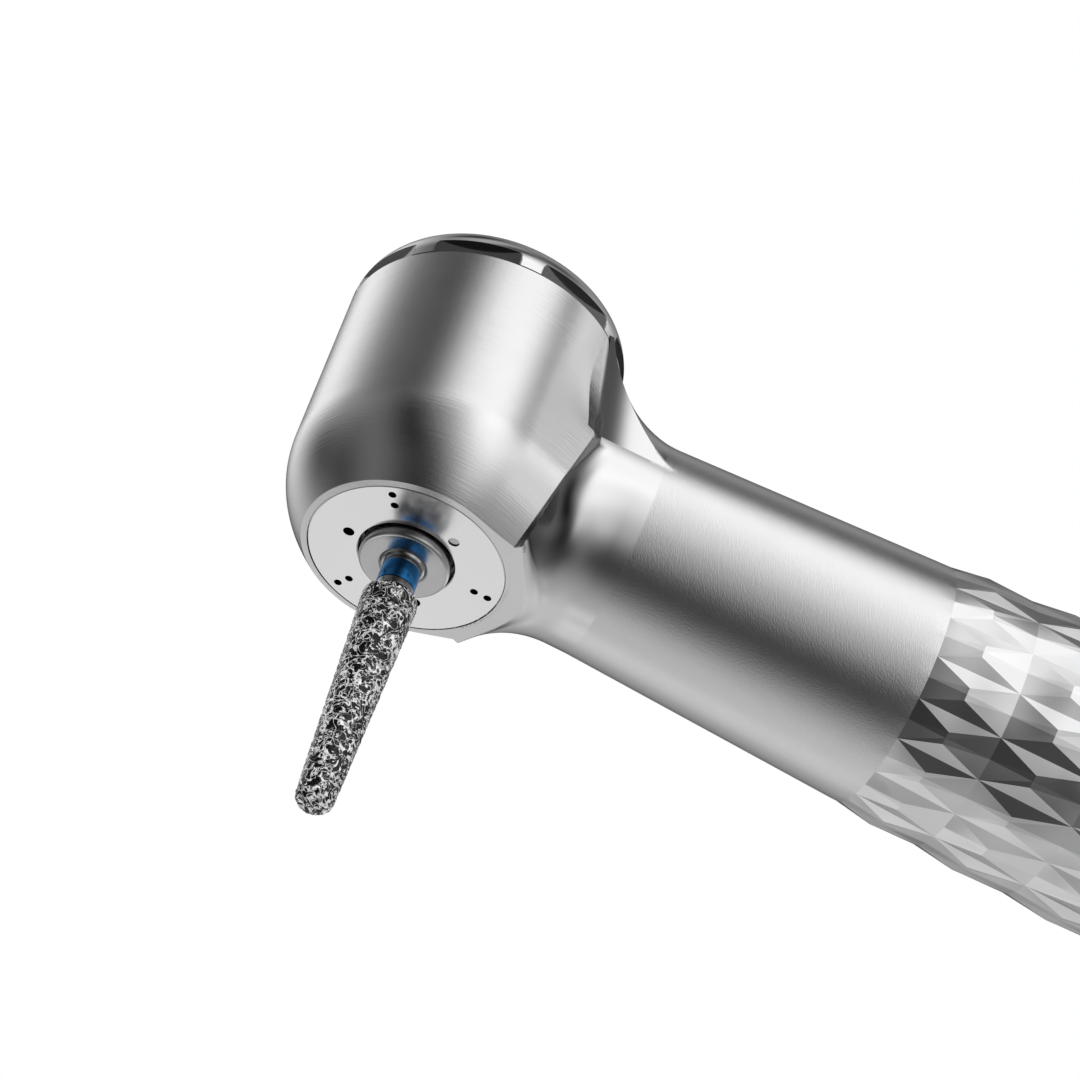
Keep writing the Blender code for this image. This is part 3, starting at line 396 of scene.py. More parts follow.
@dataclass(frozen=True)
class Steel:
    """A metal finish with fine grain, slow unevenness and, where asked, lines left by turning."""

    name: str
    colour: tuple[float, float, float] = (0.85, 0.85, 0.85)
    roughness: float = 0.25
    unevenness: float = 0.05
    cloud_size: float = 1.3
    grain: float = 0.0
    grain_size: float = 0.04
    lines: float = 0.0
    line_axis: int = 2
    line_width: float = 0.06
    line_length: float = 1.7
    waves: float = 0.0
    wave_size: float = 2.5
    coat: float = 0.0
    polished_beyond: float = 0.0
    polished_roughness: float = 0.5
    polished_lines: float = 0.1
    polished_edge: float = 0.04
    edge_tint: float = 0.85

    def make(self) -> bpy.types.Material:
        """Return the finish as a node material."""
        made, graph = Graph.material(self.name)
        place = graph.place()
        clouds = graph.noise(place, self.cloud_size, 3.0)
        mixed = graph.compute("ADD", clouds, graph.noise(place, self.grain_size * 3.0, 2.0))
        smoothest = max(self.roughness - self.unevenness, 0.01)
        rough = graph.span(mixed, smoothest, self.roughness + self.unevenness, 0.6, 1.4)
        lines: Value = self.lines
        if self.polished_beyond:
            rough = graph.compute("MULTIPLY", rough, self.lessened(graph, place, 1.0, self.polished_roughness))
            lines = self.lessened(graph, place, self.lines, self.polished_lines)
        normal: Value = None
        if self.grain:
            normal = graph.bump(graph.noise(place, self.grain_size, 2.0), self.grain, normal)
        if self.lines:
            scale = [1.0 / (self.line_length * MM)] * 3
            scale[self.line_axis] = 1.0 / (self.line_width * MM)
            stretched = graph.add("Mapping", {"Vector": place, "Scale": scale})
            one_metre = 1.0 / MM
            normal = graph.bump(graph.noise(stretched, one_metre, 3.0), lines, normal)
        if self.waves:
            normal = graph.bump(graph.noise(place, self.wave_size, 0.0), 1.0, normal, self.waves)
        edge = (self.edge_tint, self.edge_tint, self.edge_tint, 1.0)
        graph.shade({"Base Color": (*self.colour, 1.0), "Metallic": 1.0, "Roughness": rough})
        graph.shade({"Coat Weight": self.coat, "Specular Tint": edge, "Normal": normal})
        return made

    def lessened(self, graph: Graph, place: Value, value: float, share: float) -> bpy.types.NodeSocket:
        """Give a value up to the polished end of the handle and a share of it past that.

        Args:
            graph: The material's nodes.
            place: The coordinates that it reads.
            value: The value.
            share: What is left of it past that place.

        Returns:
            The value at each point.
        """
        along = graph.add("SeparateXYZ", {0: place}, "X")
        start, end = self.polished_beyond * MM, (self.polished_beyond + self.polished_edge) * MM
        return graph.span(along, value, value * share, start, end)


@dataclass(frozen=True)
class Solid:
    """A non-metal finish: polymer, rubber or ceramic with slightly uneven gloss."""

    name: str
    colour: tuple[float, float, float]
    roughness: float
    coat: float = 0.0
    texture_size: float = 0.4
    tint_shares: tuple[float, float] = (0.88, 1.1)
    gloss_shares: tuple[float, float] = (0.85, 1.15)

    def make(self) -> bpy.types.Material:
        """Return the finish as a node material."""
        made, graph = Graph.material(self.name)
        uneven = graph.noise(graph.place(), self.texture_size, 3.0)
        dark, light = (tuple(min(c * share, 1.0) for c in self.colour) for share in self.tint_shares)
        gloss = graph.span(uneven, *(self.roughness * share for share in self.gloss_shares))
        tint = graph.ramp(uneven, (0.35, dark), (0.65, light))
        graph.shade({"Base Color": tint, "Roughness": gloss, "Coat Weight": self.coat})
        return made


@dataclass(frozen=True)
class DiamondGrit:
    """Diamond grains held in nickel, with painted light: winding edges and small sparkles painted bright as
    highlights over pits painted dark as shade, and a relief along the bright edges.
    """

    name: str = "diamond grit"
    ridge_size: float = 0.55
    ridge_middle: float = 0.5
    ridge_width: float = 0.06
    ridge_twist: float = 1.2
    crossing_size: float = 0.33
    crossing_middle: float = 0.56
    crossing_width: float = 0.054
    crossing_twist: float = 0.8
    painted_sparkle_size: float = 0.2
    painted_sparkle_middle: float = 0.78
    painted_sparkle_width: float = 0.14
    # Colours of the painted light: near black for the painted shade in the pits, mid grey for the slopes
    # between.
    pit_shade: tuple[float, float, float] = (0.045, 0.045, 0.045)
    slope: tuple[float, float, float] = (0.15, 0.15, 0.155)
    relief: float = 0.03

    def make(self) -> bpy.types.Material:
        """Return the finish as a node material."""
        made, graph = Graph.material(self.name)
        place = graph.place()
        winding = graph.noise(place, self.ridge_size, 1.0, self.ridge_twist)
        crossing = graph.noise(place, self.crossing_size, 1.0, self.crossing_twist)
        spots = graph.noise(place, self.painted_sparkle_size, 0.0)
        ridge = self.near(graph, winding, self.ridge_middle, self.ridge_width)
        other = self.near(graph, crossing, self.crossing_middle, self.crossing_width)
        painted_sparkle = self.near(graph, spots, self.painted_sparkle_middle, self.painted_sparkle_width)
        painted_glint_and_relief = graph.compute("MAXIMUM", graph.compute("MAXIMUM", ridge, other), painted_sparkle)
        # Painted highlight and shade: edges and sparkles are painted white, the pits near black, the slopes
        # mid grey.
        tint = graph.ramp(painted_glint_and_relief, (0.0, self.pit_shade), (0.75, WHITE[:3]), (0.3, self.slope))
        metal, gloss = graph.span(painted_glint_and_relief, 1.0, 0.3, 0.4), graph.span(painted_glint_and_relief, 0.30, 0.18)
        normal = graph.bump(painted_glint_and_relief, 1.0, None, self.relief)
        graph.shade({"Base Color": tint, "Metallic": metal, "Roughness": gloss, "Normal": normal})
        return made

    @staticmethod
    def near(graph: Graph, value: Value, middle: float, width: float) -> bpy.types.NodeSocket:
        """Give 1 where a value is at a middle, falling to 0 a width away from it."""
        away = graph.compute("ABSOLUTE", graph.compute("SUBTRACT", value, middle))
        return graph.span(away, 1.0, 0.0, 0.0, width)


class Finishes:
    """The materials that the pieces share, one object for each."""

    def __init__(self) -> None:
        """Make every finish once."""
        self.head = Steel("satin head steel", roughness=0.17, grain=0.45, lines=0.6).make()
        self.handle = Steel(
            "satin handle steel", roughness=0.19, lines=0.85, line_axis=0, line_width=0.042,
            line_length=0.075, polished_beyond=HEAD_X - 8.05,
        ).make()
        self.facets = Steel("cut facet steel", roughness=0.09, unevenness=0.03, grain=0.12, waves=0.16).make()
        self.chrome = Steel("polished chrome", roughness=0.06, unevenness=0.02).make()
        # The flats' dark colour is painted shade: it stands in for the dark reflection that the wrench flats
        # show. Only their roughness differs as milled metal.
        self.flats = Steel("milled chrome painted dark", colour=(0.34, 0.34, 0.34), roughness=0.12, edge_tint=0.5).make()
        self.mirror = Steel(
            "mirror steel", colour=(1.0, 1.0, 1.0), roughness=0.17, unevenness=0.02, edge_tint=1.0
        ).make()
        self.disc = Steel("turned disc steel", colour=(0.62, 0.62, 0.62), roughness=0.24, lines=0.1).make()
        # The hole walls are painted near black: painted shade for the dark inside of the drilled holes.
        self.dark = Steel("hole walls painted dark", colour=(0.05, 0.05, 0.05), roughness=0.4, edge_tint=0.1).make()
        self.ground = Steel("ground steel", colour=(0.5, 0.5, 0.51), roughness=0.14, lines=0.08).make()
        self.alloy = Steel("anodised alloy", colour=(0.62, 0.64, 0.66), roughness=0.3, grain=0.1).make()
        self.cage = Solid("cage polymer", (0.42, 0.24, 0.10), 0.45).make()
        self.ceramic = Solid("ceramic", (0.12, 0.12, 0.13), 0.10, coat=0.3).make()
        self.rubber = Solid("seal rubber", (0.02, 0.02, 0.02), 0.6).make()
        self.enamel = Steel(
            "blue enamel", colour=(0.03, 0.33, 0.85), roughness=0.16, unevenness=0.02, edge_tint=0.5, coat=0.6
        ).make()
        self.grit = DiamondGrit().make()


def finish_piece(
    piece: bpy.types.Object, body: Body, slot: Slot, materials: tuple[bpy.types.Material, ...], *nodes: str
) -> None:
    """Dress a piece, tie it to its body and hide the solids that it replaces.

    Args:
        piece: The piece.
        body: The body that it rides on.
        slot: Not used.
        materials: Its materials, in the order of its faces' tones.
        *nodes: The solids that it replaces.
    """
    for material in materials:
        piece.data.materials.append(material)
    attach(piece, body.value)
    if nodes:
        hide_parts(*nodes)
    LOG.info("%s: %d faces", piece.name, len(piece.data.polygons))


@dataclass
class Head:
    """The turned head with its tangent shoulders, its chamfer and its bore."""

    radius: float = 6.05
    rim: float = 4.476
    rise: float = 6.46
    taper_height: float = 4.0
    taper_power: float = 2.1
    plate_radius: float = 4.2
    chamfer_slope: float = 0.17
    shoulder_angle: float = 67.0
    shoulder_reach: float = 4.81
    shoulder_reach_low: float = 3.44
    blend_low: float = 0.9
    blend_high: float = 4.7
    columns: int = 400
    rows: int = 120
    row_power: float = 1.35
    corner_share: float = 0.22
    tangent_share: float = 0.37
    bore: tuple[tuple[float, float], ...] = (
        (4.88, 6.46), (4.88, 1.7), (4.3, 1.7), (4.3, -1.7), (3.78, -1.7), (3.78, -4.45),
        (2.05, -4.45), (2.05, -4.95), (4.2, -4.95), (4.2, FACE_Z),
    )

    def barrel(self, z: np.ndarray) -> np.ndarray:
        """Radius of the turned head at a height: straight above, a power curve down to the rim below.

        Args:
            z: Heights.

        Returns:
            Radii.
        """
        low = FACE_Z + (self.rim - self.plate_radius) * self.chamfer_slope
        left = 1.0 - (np.maximum(z, low) - low) / (FACE_Z + self.taper_height - low)
        return self.radius - (self.radius - self.rim) * np.maximum(left, 0.0) ** self.taper_power

    def reach(self, z: np.ndarray) -> np.ndarray:
        """How far the shoulders reach towards the handle, growing evenly with height up to their blend."""
        share = np.clip((z - FACE_Z) / (self.blend_low - FACE_Z), 0.0, 1.0)
        return self.shoulder_reach_low + (self.shoulder_reach - self.shoulder_reach_low) * share

    def outline(self, z: np.ndarray, turn: np.ndarray) -> np.ndarray:
        """Radius of the head at a height and an angle from the handle direction.

        Past the shoulder angle it is the barrel's. Nearer the handle it is the barrel's tangent, which
        ends at the reach, and above the blend it eases back to the barrel.

        Args:
            z: Heights.
            turn: Angles from the handle direction, in radians.

        Returns:
            Radii.
        """
        barrel = self.barrel(z)
        limit = math.radians(self.shoulder_angle)
        away = np.maximum(limit - np.abs(turn), 0.0)
        tangent = barrel / np.cos(away)
        end = self.reach(z) / np.maximum(np.cos(turn), 1e-3)
        wide = np.maximum(barrel * 0.98, np.minimum(tangent, end))
        fade = ease((self.blend_high - z) / (self.blend_high - self.blend_low))
        return np.where(away > 0.0, barrel + (wide - barrel) * fade, barrel)

    def tangent_width(self, z: np.ndarray, s: np.ndarray) -> np.ndarray:
        """Half the width between the shoulders' tangents at a distance from the head axis."""
        limit = math.radians(self.shoulder_angle)
        return (self.barrel(z) - s * math.cos(limit)) / math.sin(limit)

    def turns(self, z: np.ndarray) -> np.ndarray:
        """Place the grid's columns at a height, as angles from the handle direction.

        The columns are even between five lines: the two shoulder corners, the two places where the
        tangents leave the barrel, and the far side. A corner's tangent is its half width over its reach.

        Args:
            z: One height for each column.

        Returns:
            Angles from the handle direction, in radians.
        """
        corner = np.arctan2(self.tangent_width(z, self.reach(z)), self.reach(z))
        limit = math.radians(self.shoulder_angle)
        even = np.linspace(0.0, 1.0, len(z) + 1)[:-1] * 2.0 - 1.0
        share = np.abs(even)
        inner, outer = self.corner_share, self.tangent_share
        first = corner * share / inner
        second = corner + (limit - corner) * (share - inner) / (outer - inner)
        third = limit + (np.pi - limit) * (share - outer) / (1.0 - outer)
        placed = np.where(share <= inner, first, np.where(share <= outer, second, third))
        return np.sign(even) * placed

    def cone(self, distance: np.ndarray) -> np.ndarray:
        """Height of the chamfer's cone at a distance from the head axis."""
        return FACE_Z + (distance - self.plate_radius) * self.chamfer_slope

    def build(self, finishes: Finishes) -> None:
        """Make the head.

        Args:
            finishes: The shared materials.
        """
        low = self.cone(np.full(self.columns, self.rim))
        for _ in range(8):
            low = self.cone(self.outline(low, self.turns(low)))
        share = np.linspace(0.0, 1.0, self.rows)[:, None] ** self.row_power
        z = low + (self.rise - low) * share
        turn = np.apply_along_axis(self.turns, 1, z)
        r = self.outline(z, turn)
        outer = np.stack([HEAD_X - r * np.cos(turn), r * np.sin(turn), z], axis=-1)
        skin = Skin()
        bore = turned(np.array(self.bore), self.columns)
        flipped = np.roll(bore[:, ::-1], 1, axis=1)
        skin.grid(np.concatenate([outer, flipped]), wrap_rows=True, wrap_columns=True)
        finish_piece(skin.make("head_skin"), Body.HANDLE, Slot.SATIN, (finishes.head,), "body_shell")


@dataclass
class Handle:
    """The neck, the tube, the diamond-cut grip and the plain band behind it."""

    head: Head
    tube_at_head: float = 4.418
    tube_growth: float = 0.05
    top_fillet: float = 4.8
    top_end: float = 8.8
    low_fillet: float = 4.2
    low_end: float = 7.2
    flank_inset: float = 0.11
    start: float = 3.2
    widening: float = 1.0
    flank_low: float = 0.9
    flank_rise: float = 0.1
    neck_end: float = 8.05
    neck_growth: float = 0.01
    near_rows: int = 110
    far_rows: int = 34
    inside_head: float = 0.02
    inside_shoulder: float = 0.03
    over_plate: float = 0.25
    cone_end: float = 8.0
    grip_start: float = 21.26
    columns: int = 18
    pitch: float = 3.76
    pitch_step: float = 0.6
    pitch_longest: float = 5.6
    rows: int = 12
    turn: float = 7.7
    grip_radius: float = 6.3
    swell: float = 25.0
    middle: float = 0.45
    proud: float = 0.17
    diamond: float = 0.72
    band_radius: float = 6.0
    bore: float = 4.65
    rear_x: float = 14.0
    rear_columns: int = 216
    crease_s: float = 4.55
    crease_z: float = 2.0
    crease_lean: float = 0.15
    upper_tilt: float = 0.62
    upper_fade: Fade = Fade(0.2, 2.3)
    edge_tilt: float = 0.6
    edge_width: float = 0.2
    under_z: float = -2.2
    under_s: float = 4.21
    under_lean: float = 0.04
    under_bend: float = 0.22
    under_round: float = 0.5
    lower_tilt: float = 0.8
    lower_fade: Fade = Fade(-0.42, 1.7)
    lower_less: float = 0.4
    lower_less_fade: Fade = Fade(1.2, 1.6)
    lower_end: Fade = Fade(0.6, 1.2)
    bottom_end: Fade = Fade(2.7, 0.3)
    middle_fade: Fade = Fade(0.4, 0.6)

    def tube(self, s: np.ndarray) -> np.ndarray:
        """Radius of the turned handle: a slow cone up to the grip, then a parabola that levels off."""
        start = self.tube_at_head + self.tube_growth * self.grip_start
        left = np.maximum(0.0, 1.0 - (s - self.grip_start) / self.swell)
        swollen = self.grip_radius - (self.grip_radius - start) * left * left
        cone = self.tube_at_head + self.tube_growth * np.maximum(s, self.neck_end)
        cone = cone + self.neck_growth * np.minimum(s - self.neck_end, 0.0)
        return np.where(s <= self.grip_start, cone, swollen)

    @staticmethod
    def arc(s: np.ndarray, radius: float, end: float) -> np.ndarray:
        """Height of a concave arc that leaves the tube at its end and grows towards the head."""
        run = np.clip(end - s, 0.0, radius * 0.999)
        return radius - np.sqrt(radius * radius - run * run)

    def neck(self) -> np.ndarray:
        """Work out the neck and tube as a grid of sections.

        A section is the tube with an arc's height added below and above. Two flat flanks cut the upper
        arc, and grid lines follow their corners. Up to the head's shoulders it stays inside their
        tangents, and beyond them it widens evenly. The chamfer's cone cuts it below.

        Returns:
            The grid of points.
        """
        below, beside, above = 74, 14, 30
        near = np.linspace(self.start, self.top_end, self.near_rows)
        far = np.linspace(self.top_end, self.grip_start, self.far_rows)[1:]
        s = np.concatenate([near, far])[:, None]
        tube = self.tube(s)
        flare = tube + self.arc(s, self.top_fillet, self.top_end)
        flank = tube - self.flank_inset
        foot, corner = np.arccos(flank / tube), np.arccos(flank / flare)
        sharp = ease((flare - tube) / (2.0 * self.flank_inset))
        down = -np.pi / 2.0
        placed = np.concatenate(
            [
                down + (foot - down) * np.linspace(0.0, 1.0, below + 1),
                foot + (corner - foot) * np.linspace(0.0, 1.0, beside + 1)[1:],
                corner + (-down - corner) * np.linspace(0.0, 1.0, above + 1)[1:],
            ],
            axis=1,
        )
        even = np.linspace(down, -down, placed.shape[1])
        angle = even + (placed - even) * sharp
        across, up = np.cos(angle), np.sin(angle)
        low = tube + self.arc(s, self.low_fillet, self.low_end) * ease(-up)
        high = np.maximum(tube, np.minimum(flare, flank / np.maximum(across, 1e-6)))
        radius = np.where(up > 0.0, high, low)
        y, z = radius * across, radius * up
        height = np.maximum(z, FACE_Z)
        beyond = s - self.head.reach(height)
        y = np.minimum(y, self.limit(s, height))
        plan = np.hypot(s, y)
        cone = self.head.cone(plan) + np.where(beyond < 0.0, self.inside_head, 0.0)
        cone = np.where(plan < self.head.plate_radius, FACE_Z + self.over_plate, cone)
        z = np.clip(z, np.where(s < self.cone_end, cone, -np.inf), self.head.rise - 0.01)
        s = s + 0.0 * y
        right = np.stack([HEAD_X - s, y, z], axis=-1)
        left = right[:, -2:0:-1] * np.array([1.0, -1.0, 1.0])
        return np.concatenate([right, left], axis=1)

    def limit(self, s: np.ndarray, height: np.ndarray) -> np.ndarray:
        """How far the neck may stand out sideways beside the head: the head's tangents, then wider.

        Args:
            s: Distances from the head axis.
            height: Heights, none under the head's face.

        Returns:
            The largest distances from the middle.
        """
        beyond = np.maximum(s - self.head.reach(height), 0.0)
        tangent = self.head.tangent_width(height, s) - self.inside_shoulder
        rise = self.flank_rise * np.maximum(height - self.flank_low, 0.0) ** 2
        return tangent + self.widening * beyond + rise

    def bend_normals(self, mesh: bpy.types.Mesh) -> None:
        """Shade the neck's sides as if they rolled in towards the head.

        Above the middle the normals get a tilt that fades away from the crease beside the head, with a
        stronger one at the crease itself. Below it their tilt is set, up to a line that bends along the
        shoulder, and it is less further down.

        Args:
            mesh: The neck's mesh.
        """
        loops = len(mesh.loops)
        corner, place = np.zeros(loops, np.int32), np.zeros(len(mesh.vertices) * 3)
        normal = np.zeros(loops * 3)
        mesh.loops.foreach_get("vertex_index", corner)
        mesh.vertices.foreach_get("co", place)
        mesh.corner_normals.foreach_get("vector", normal)
        place, normal = place.reshape(-1, 3)[corner] / MM, normal.reshape(-1, 3)
        s, z = HEAD_X - place[:, 0], place[:, 2]
        flank = s - self.crease_s + self.crease_lean * (z - self.crease_z)
        edge = np.exp(-((np.maximum(flank, 0.0) / self.edge_width) ** 2))
        high = self.upper_tilt * self.upper_fade.at(flank) + self.edge_tilt * edge
        under = self.under_z - z
        bend = self.under_bend * np.sqrt(under * under + self.under_round)
        past = s - self.under_s - self.under_lean * under - bend
        less = 1.0 - self.lower_less * (1.0 - self.lower_less_fade.at(under))
        low = self.lower_tilt * self.lower_fade.at(past) * less
        below = self.middle_fade.at(z)
        held = self.lower_end.at(past) * self.bottom_end.at(under) * below
        facing_up = (1.0 - below) * (normal[:, 2] < 0.1) * (s < self.top_end)
        sideways = np.abs(normal[:, 1])
        normal[:, 0] += held * (low * sideways - normal[:, 0]) + facing_up * high * sideways
        normal /= np.linalg.norm(normal, axis=1, keepdims=True)
        mesh.normals_split_custom_set(normal.tolist())

    @staticmethod
    def ring(s: float, angles: np.ndarray, radius: float | np.ndarray) -> np.ndarray:
        """Points of a circle about the handle axis at a distance from the head axis."""
        along = np.full(len(angles), HEAD_X - s)
        return np.stack([along, radius * np.cos(angles), radius * np.sin(angles)], axis=-1)

    def polygon(self, s: float, angles: np.ndarray) -> np.ndarray:
        """Points on the grip's end polygon: the chord's radius at each angle, over its cosine."""
        radius = float(self.tube(np.array(s)))
        step = np.pi / self.columns
        first = -np.pi / 2.0 + math.radians(self.turn)
        off = (angles - first) % step - step / 2.0
        return self.ring(s, angles, radius * math.cos(step / 2.0) / np.cos(off))

    def diamonds(self) -> tuple[np.ndarray, np.ndarray, float]:
        """Work out the grip's facets row by row.

        A row has a circle of corners at each end and a middle circle that stands proud. Each column's
        diamond has two corners on the end circles and two on the middle one.

        Returns:
            The points, the faces, and the distance at which the grip ends.
        """
        step = 2.0 * np.pi / self.columns
        first = -np.pi / 2.0 + math.radians(self.turn)
        column = np.arange(self.columns)
        ends = first + np.arange(2 * self.columns) * step / 2.0
        half = step * self.diamond / 2.0
        offsets = np.array([half, step / 2.0, step - half])
        mids = (first + column[:, None] * step + offsets).reshape(-1)
        per_row = 2 * self.columns + 3 * self.columns
        points, s = [], self.grip_start
        for row in range(self.rows):
            pitch = min(self.pitch + self.pitch_step * row, self.pitch_longest)
            start, end = float(self.tube(np.array(s))), float(self.tube(np.array(s + pitch)))
            points.append(self.ring(s, ends, start))
            proud = start + (end - start) * self.middle + self.proud
            points.append(self.ring(s + pitch * self.middle, mids, proud))
            s += pitch
        points.append(self.ring(s, ends, float(self.tube(np.array(s)))))
        corner, half_way = 2 * column, 2 * column + 1
        following = (2 * column + 2) % (2 * self.columns)
        base = 2 * self.columns
        after, centre, before = base + 3 * column, base + 3 * column + 1, base + 3 * column + 2
        last = base + (3 * column - 1) % (3 * self.columns)
        faces = np.concatenate(
            [
                np.stack([corner, half_way, centre, after], axis=1),
                np.stack([half_way, following, before, centre], axis=1),
                np.stack([after, centre, half_way + per_row, corner + per_row], axis=1),
                np.stack([centre, before, following + per_row, half_way + per_row], axis=1),
                np.stack([corner, after, corner + per_row, corner + per_row], axis=1),
                np.stack([corner, corner + per_row, last, last], axis=1),
            ]
        )
        all_rows = (faces[None] + per_row * np.arange(self.rows)[:, None, None]).reshape(-1, 4)
        return np.concatenate(points), all_rows, s

    def build(self, finishes: Finishes) -> None:
        """Make the handle as a smooth skin and a faceted grip.

        Args:
            finishes: The shared materials.
        """
        neck = self.neck()
        angles = np.arctan2(neck[-1, :, 2], neck[-1, :, 1])
        neck[-1] = self.polygon(self.grip_start, angles)
        skin = Skin()
        skin.grid(neck, wrap_columns=True)
        piece = skin.make("neck_skin", sharp=8.0)
        self.bend_normals(piece.data)
        finish_piece(piece, Body.HANDLE, Slot.SATIN, (finishes.handle,), "body_shell")
        points, faces, end = self.diamonds()
        facets = Skin()
        facets.facets(points, faces)
        piece = facets.make("grip_facets")
        finish_piece(piece, Body.HANDLE, Slot.SATIN, (finishes.facets,), "body_shell")
        angles = np.arange(self.rear_columns) * 2.0 * np.pi / self.rear_columns
        rear_s = HEAD_X - self.rear_x
        length = rear_s - end
        profile = np.array(
            [
                (self.grip_radius, end + 0.3), (self.grip_radius, end + length * 0.35),
                (self.band_radius + 0.05, end + length * 0.74), (self.band_radius, end + length * 0.8),
                (self.band_radius, rear_s - 0.12), (self.band_radius - 0.12, rear_s),
                (self.bore, rear_s), (self.bore, rear_s - 6.0),
            ]
        )
        rings = [self.polygon(end, angles)] + [self.ring(s, angles, r) for r, s in profile]
        band = Skin()
        band.grid(np.stack(rings), wrap_columns=True)
        piece = band.make("rear_band")
        finish_piece(piece, Body.HANDLE, Slot.SATIN, (finishes.head,), "body_shell")


@dataclass
class Cap:
    """The chromed back cap with its wrench flats, and the push button in its mouth."""

    radius: float = 6.05
    base: float = 6.52
    straight: float = 0.3
    dome_across: float = 2.0
    dome_up: float = 2.0
    mouth: float = 3.9
    skirt: float = 4.85
    flats: int = 8
    flat_distance: float = 5.754
    flat_height: float = 0.7
    flat_turn: float = -2.4
    button_radius: float = 3.82
    crown: float = 0.22
    lip_bevel: float = 0.15
    button_bevel: float = 0.12
    columns: int = 720
    bore: tuple[tuple[float, float], ...] = (
        (3.9, 6.78), (4.3, 6.78), (4.3, 5.04), (2.5, 5.04), (2.5, 4.49), (3.775, 4.49), (3.775, 1.71),
    )
    button_steps: tuple[tuple[float, float], ...] = (
        (3.82, 6.72), (4.22, 6.72), (4.22, 6.02), (3.22, 6.02), (3.22, 8.17), (0.0, 8.17),
    )

    def build(self, finishes: Finishes) -> None:
        """Make the cap and the button.

        Args:
            finishes: The shared materials.
        """
        dome_z = self.base + self.straight
        flat_top = math.degrees(math.asin((self.flat_height - self.straight) / self.dome_up))
        beside_flat = [flat_top - 0.05, flat_top + 0.05]
        angle = np.radians(np.sort(np.append(np.linspace(0.0, 90.0, 40), beside_flat)))
        outer = bow(angle, (self.radius - self.dome_across, dome_z), self.dome_across, self.dome_up)
        outer = outer[outer[:, 0] > self.mouth + 0.2]
        wall = line((self.radius, self.base), (self.radius, dome_z), 18)[:-1]
        top = outer[-1, 1]
        lip = [(self.mouth + self.lip_bevel, top), (self.mouth, top - self.lip_bevel)]
        skirt = [(self.skirt, self.bore[-1][1]), (self.skirt, self.base)]
        profile = np.concatenate([wall, outer, rounded([*lip, *self.bore, *skirt], 0.05, False)])
        grid = turned(profile, self.columns)
        azimuth = np.arange(self.columns) * 2.0 * np.pi / self.columns
        step = 2.0 * np.pi / self.flats
        off = (azimuth - math.radians(self.flat_turn)) % step - step / 2.0
        limit = self.flat_distance / np.cos(off)
        cut = len(wall) + len(outer)
        radius = profile[:cut, :1] + 0.0 * azimuth
        flat = np.where(profile[:cut, 1:2] < self.base + self.flat_height, np.minimum(radius, limit), radius)
        grid[:cut, :, 0] = HEAD_X + flat * np.cos(azimuth)
        grid[:cut, :, 1] = flat * np.sin(azimuth)
        # The flats take the second material, whose dark colour is painted shade.
        on_flat = np.zeros(grid.shape[:2], bool)
        on_flat[:cut] = flat < radius - 0.002
        skin = Skin()
        skin.grid(grid, wrap_rows=True, wrap_columns=True, tone=on_flat.astype(int))
        materials = (finishes.chrome, finishes.flats)
        finish_piece(skin.make("cap_skin", sharp=20.0), Body.HANDLE, Slot.POLISHED, materials, "back_cap")
        share = np.linspace(0.0, 1.0, 24)
        button_top = dome_z + self.dome_up - 0.05
        bevel = self.button_radius - self.button_bevel
        edge = button_top - 0.01
        crown = np.stack([share * bevel, button_top + self.crown * (1.0 - share**2) - 0.01], axis=1)
        corner = [(bevel, edge), (self.button_radius, edge - self.button_bevel)]
        side = rounded([*corner, *self.button_steps], 0.04, False)
        skin = Skin()
        skin.grid(turned(np.concatenate([crown[:-1], side]), 240), wrap_columns=True)
        finish_piece(skin.make("button_skin"), Body.BUTTON, Slot.POLISHED, (finishes.chrome,), "push_button")


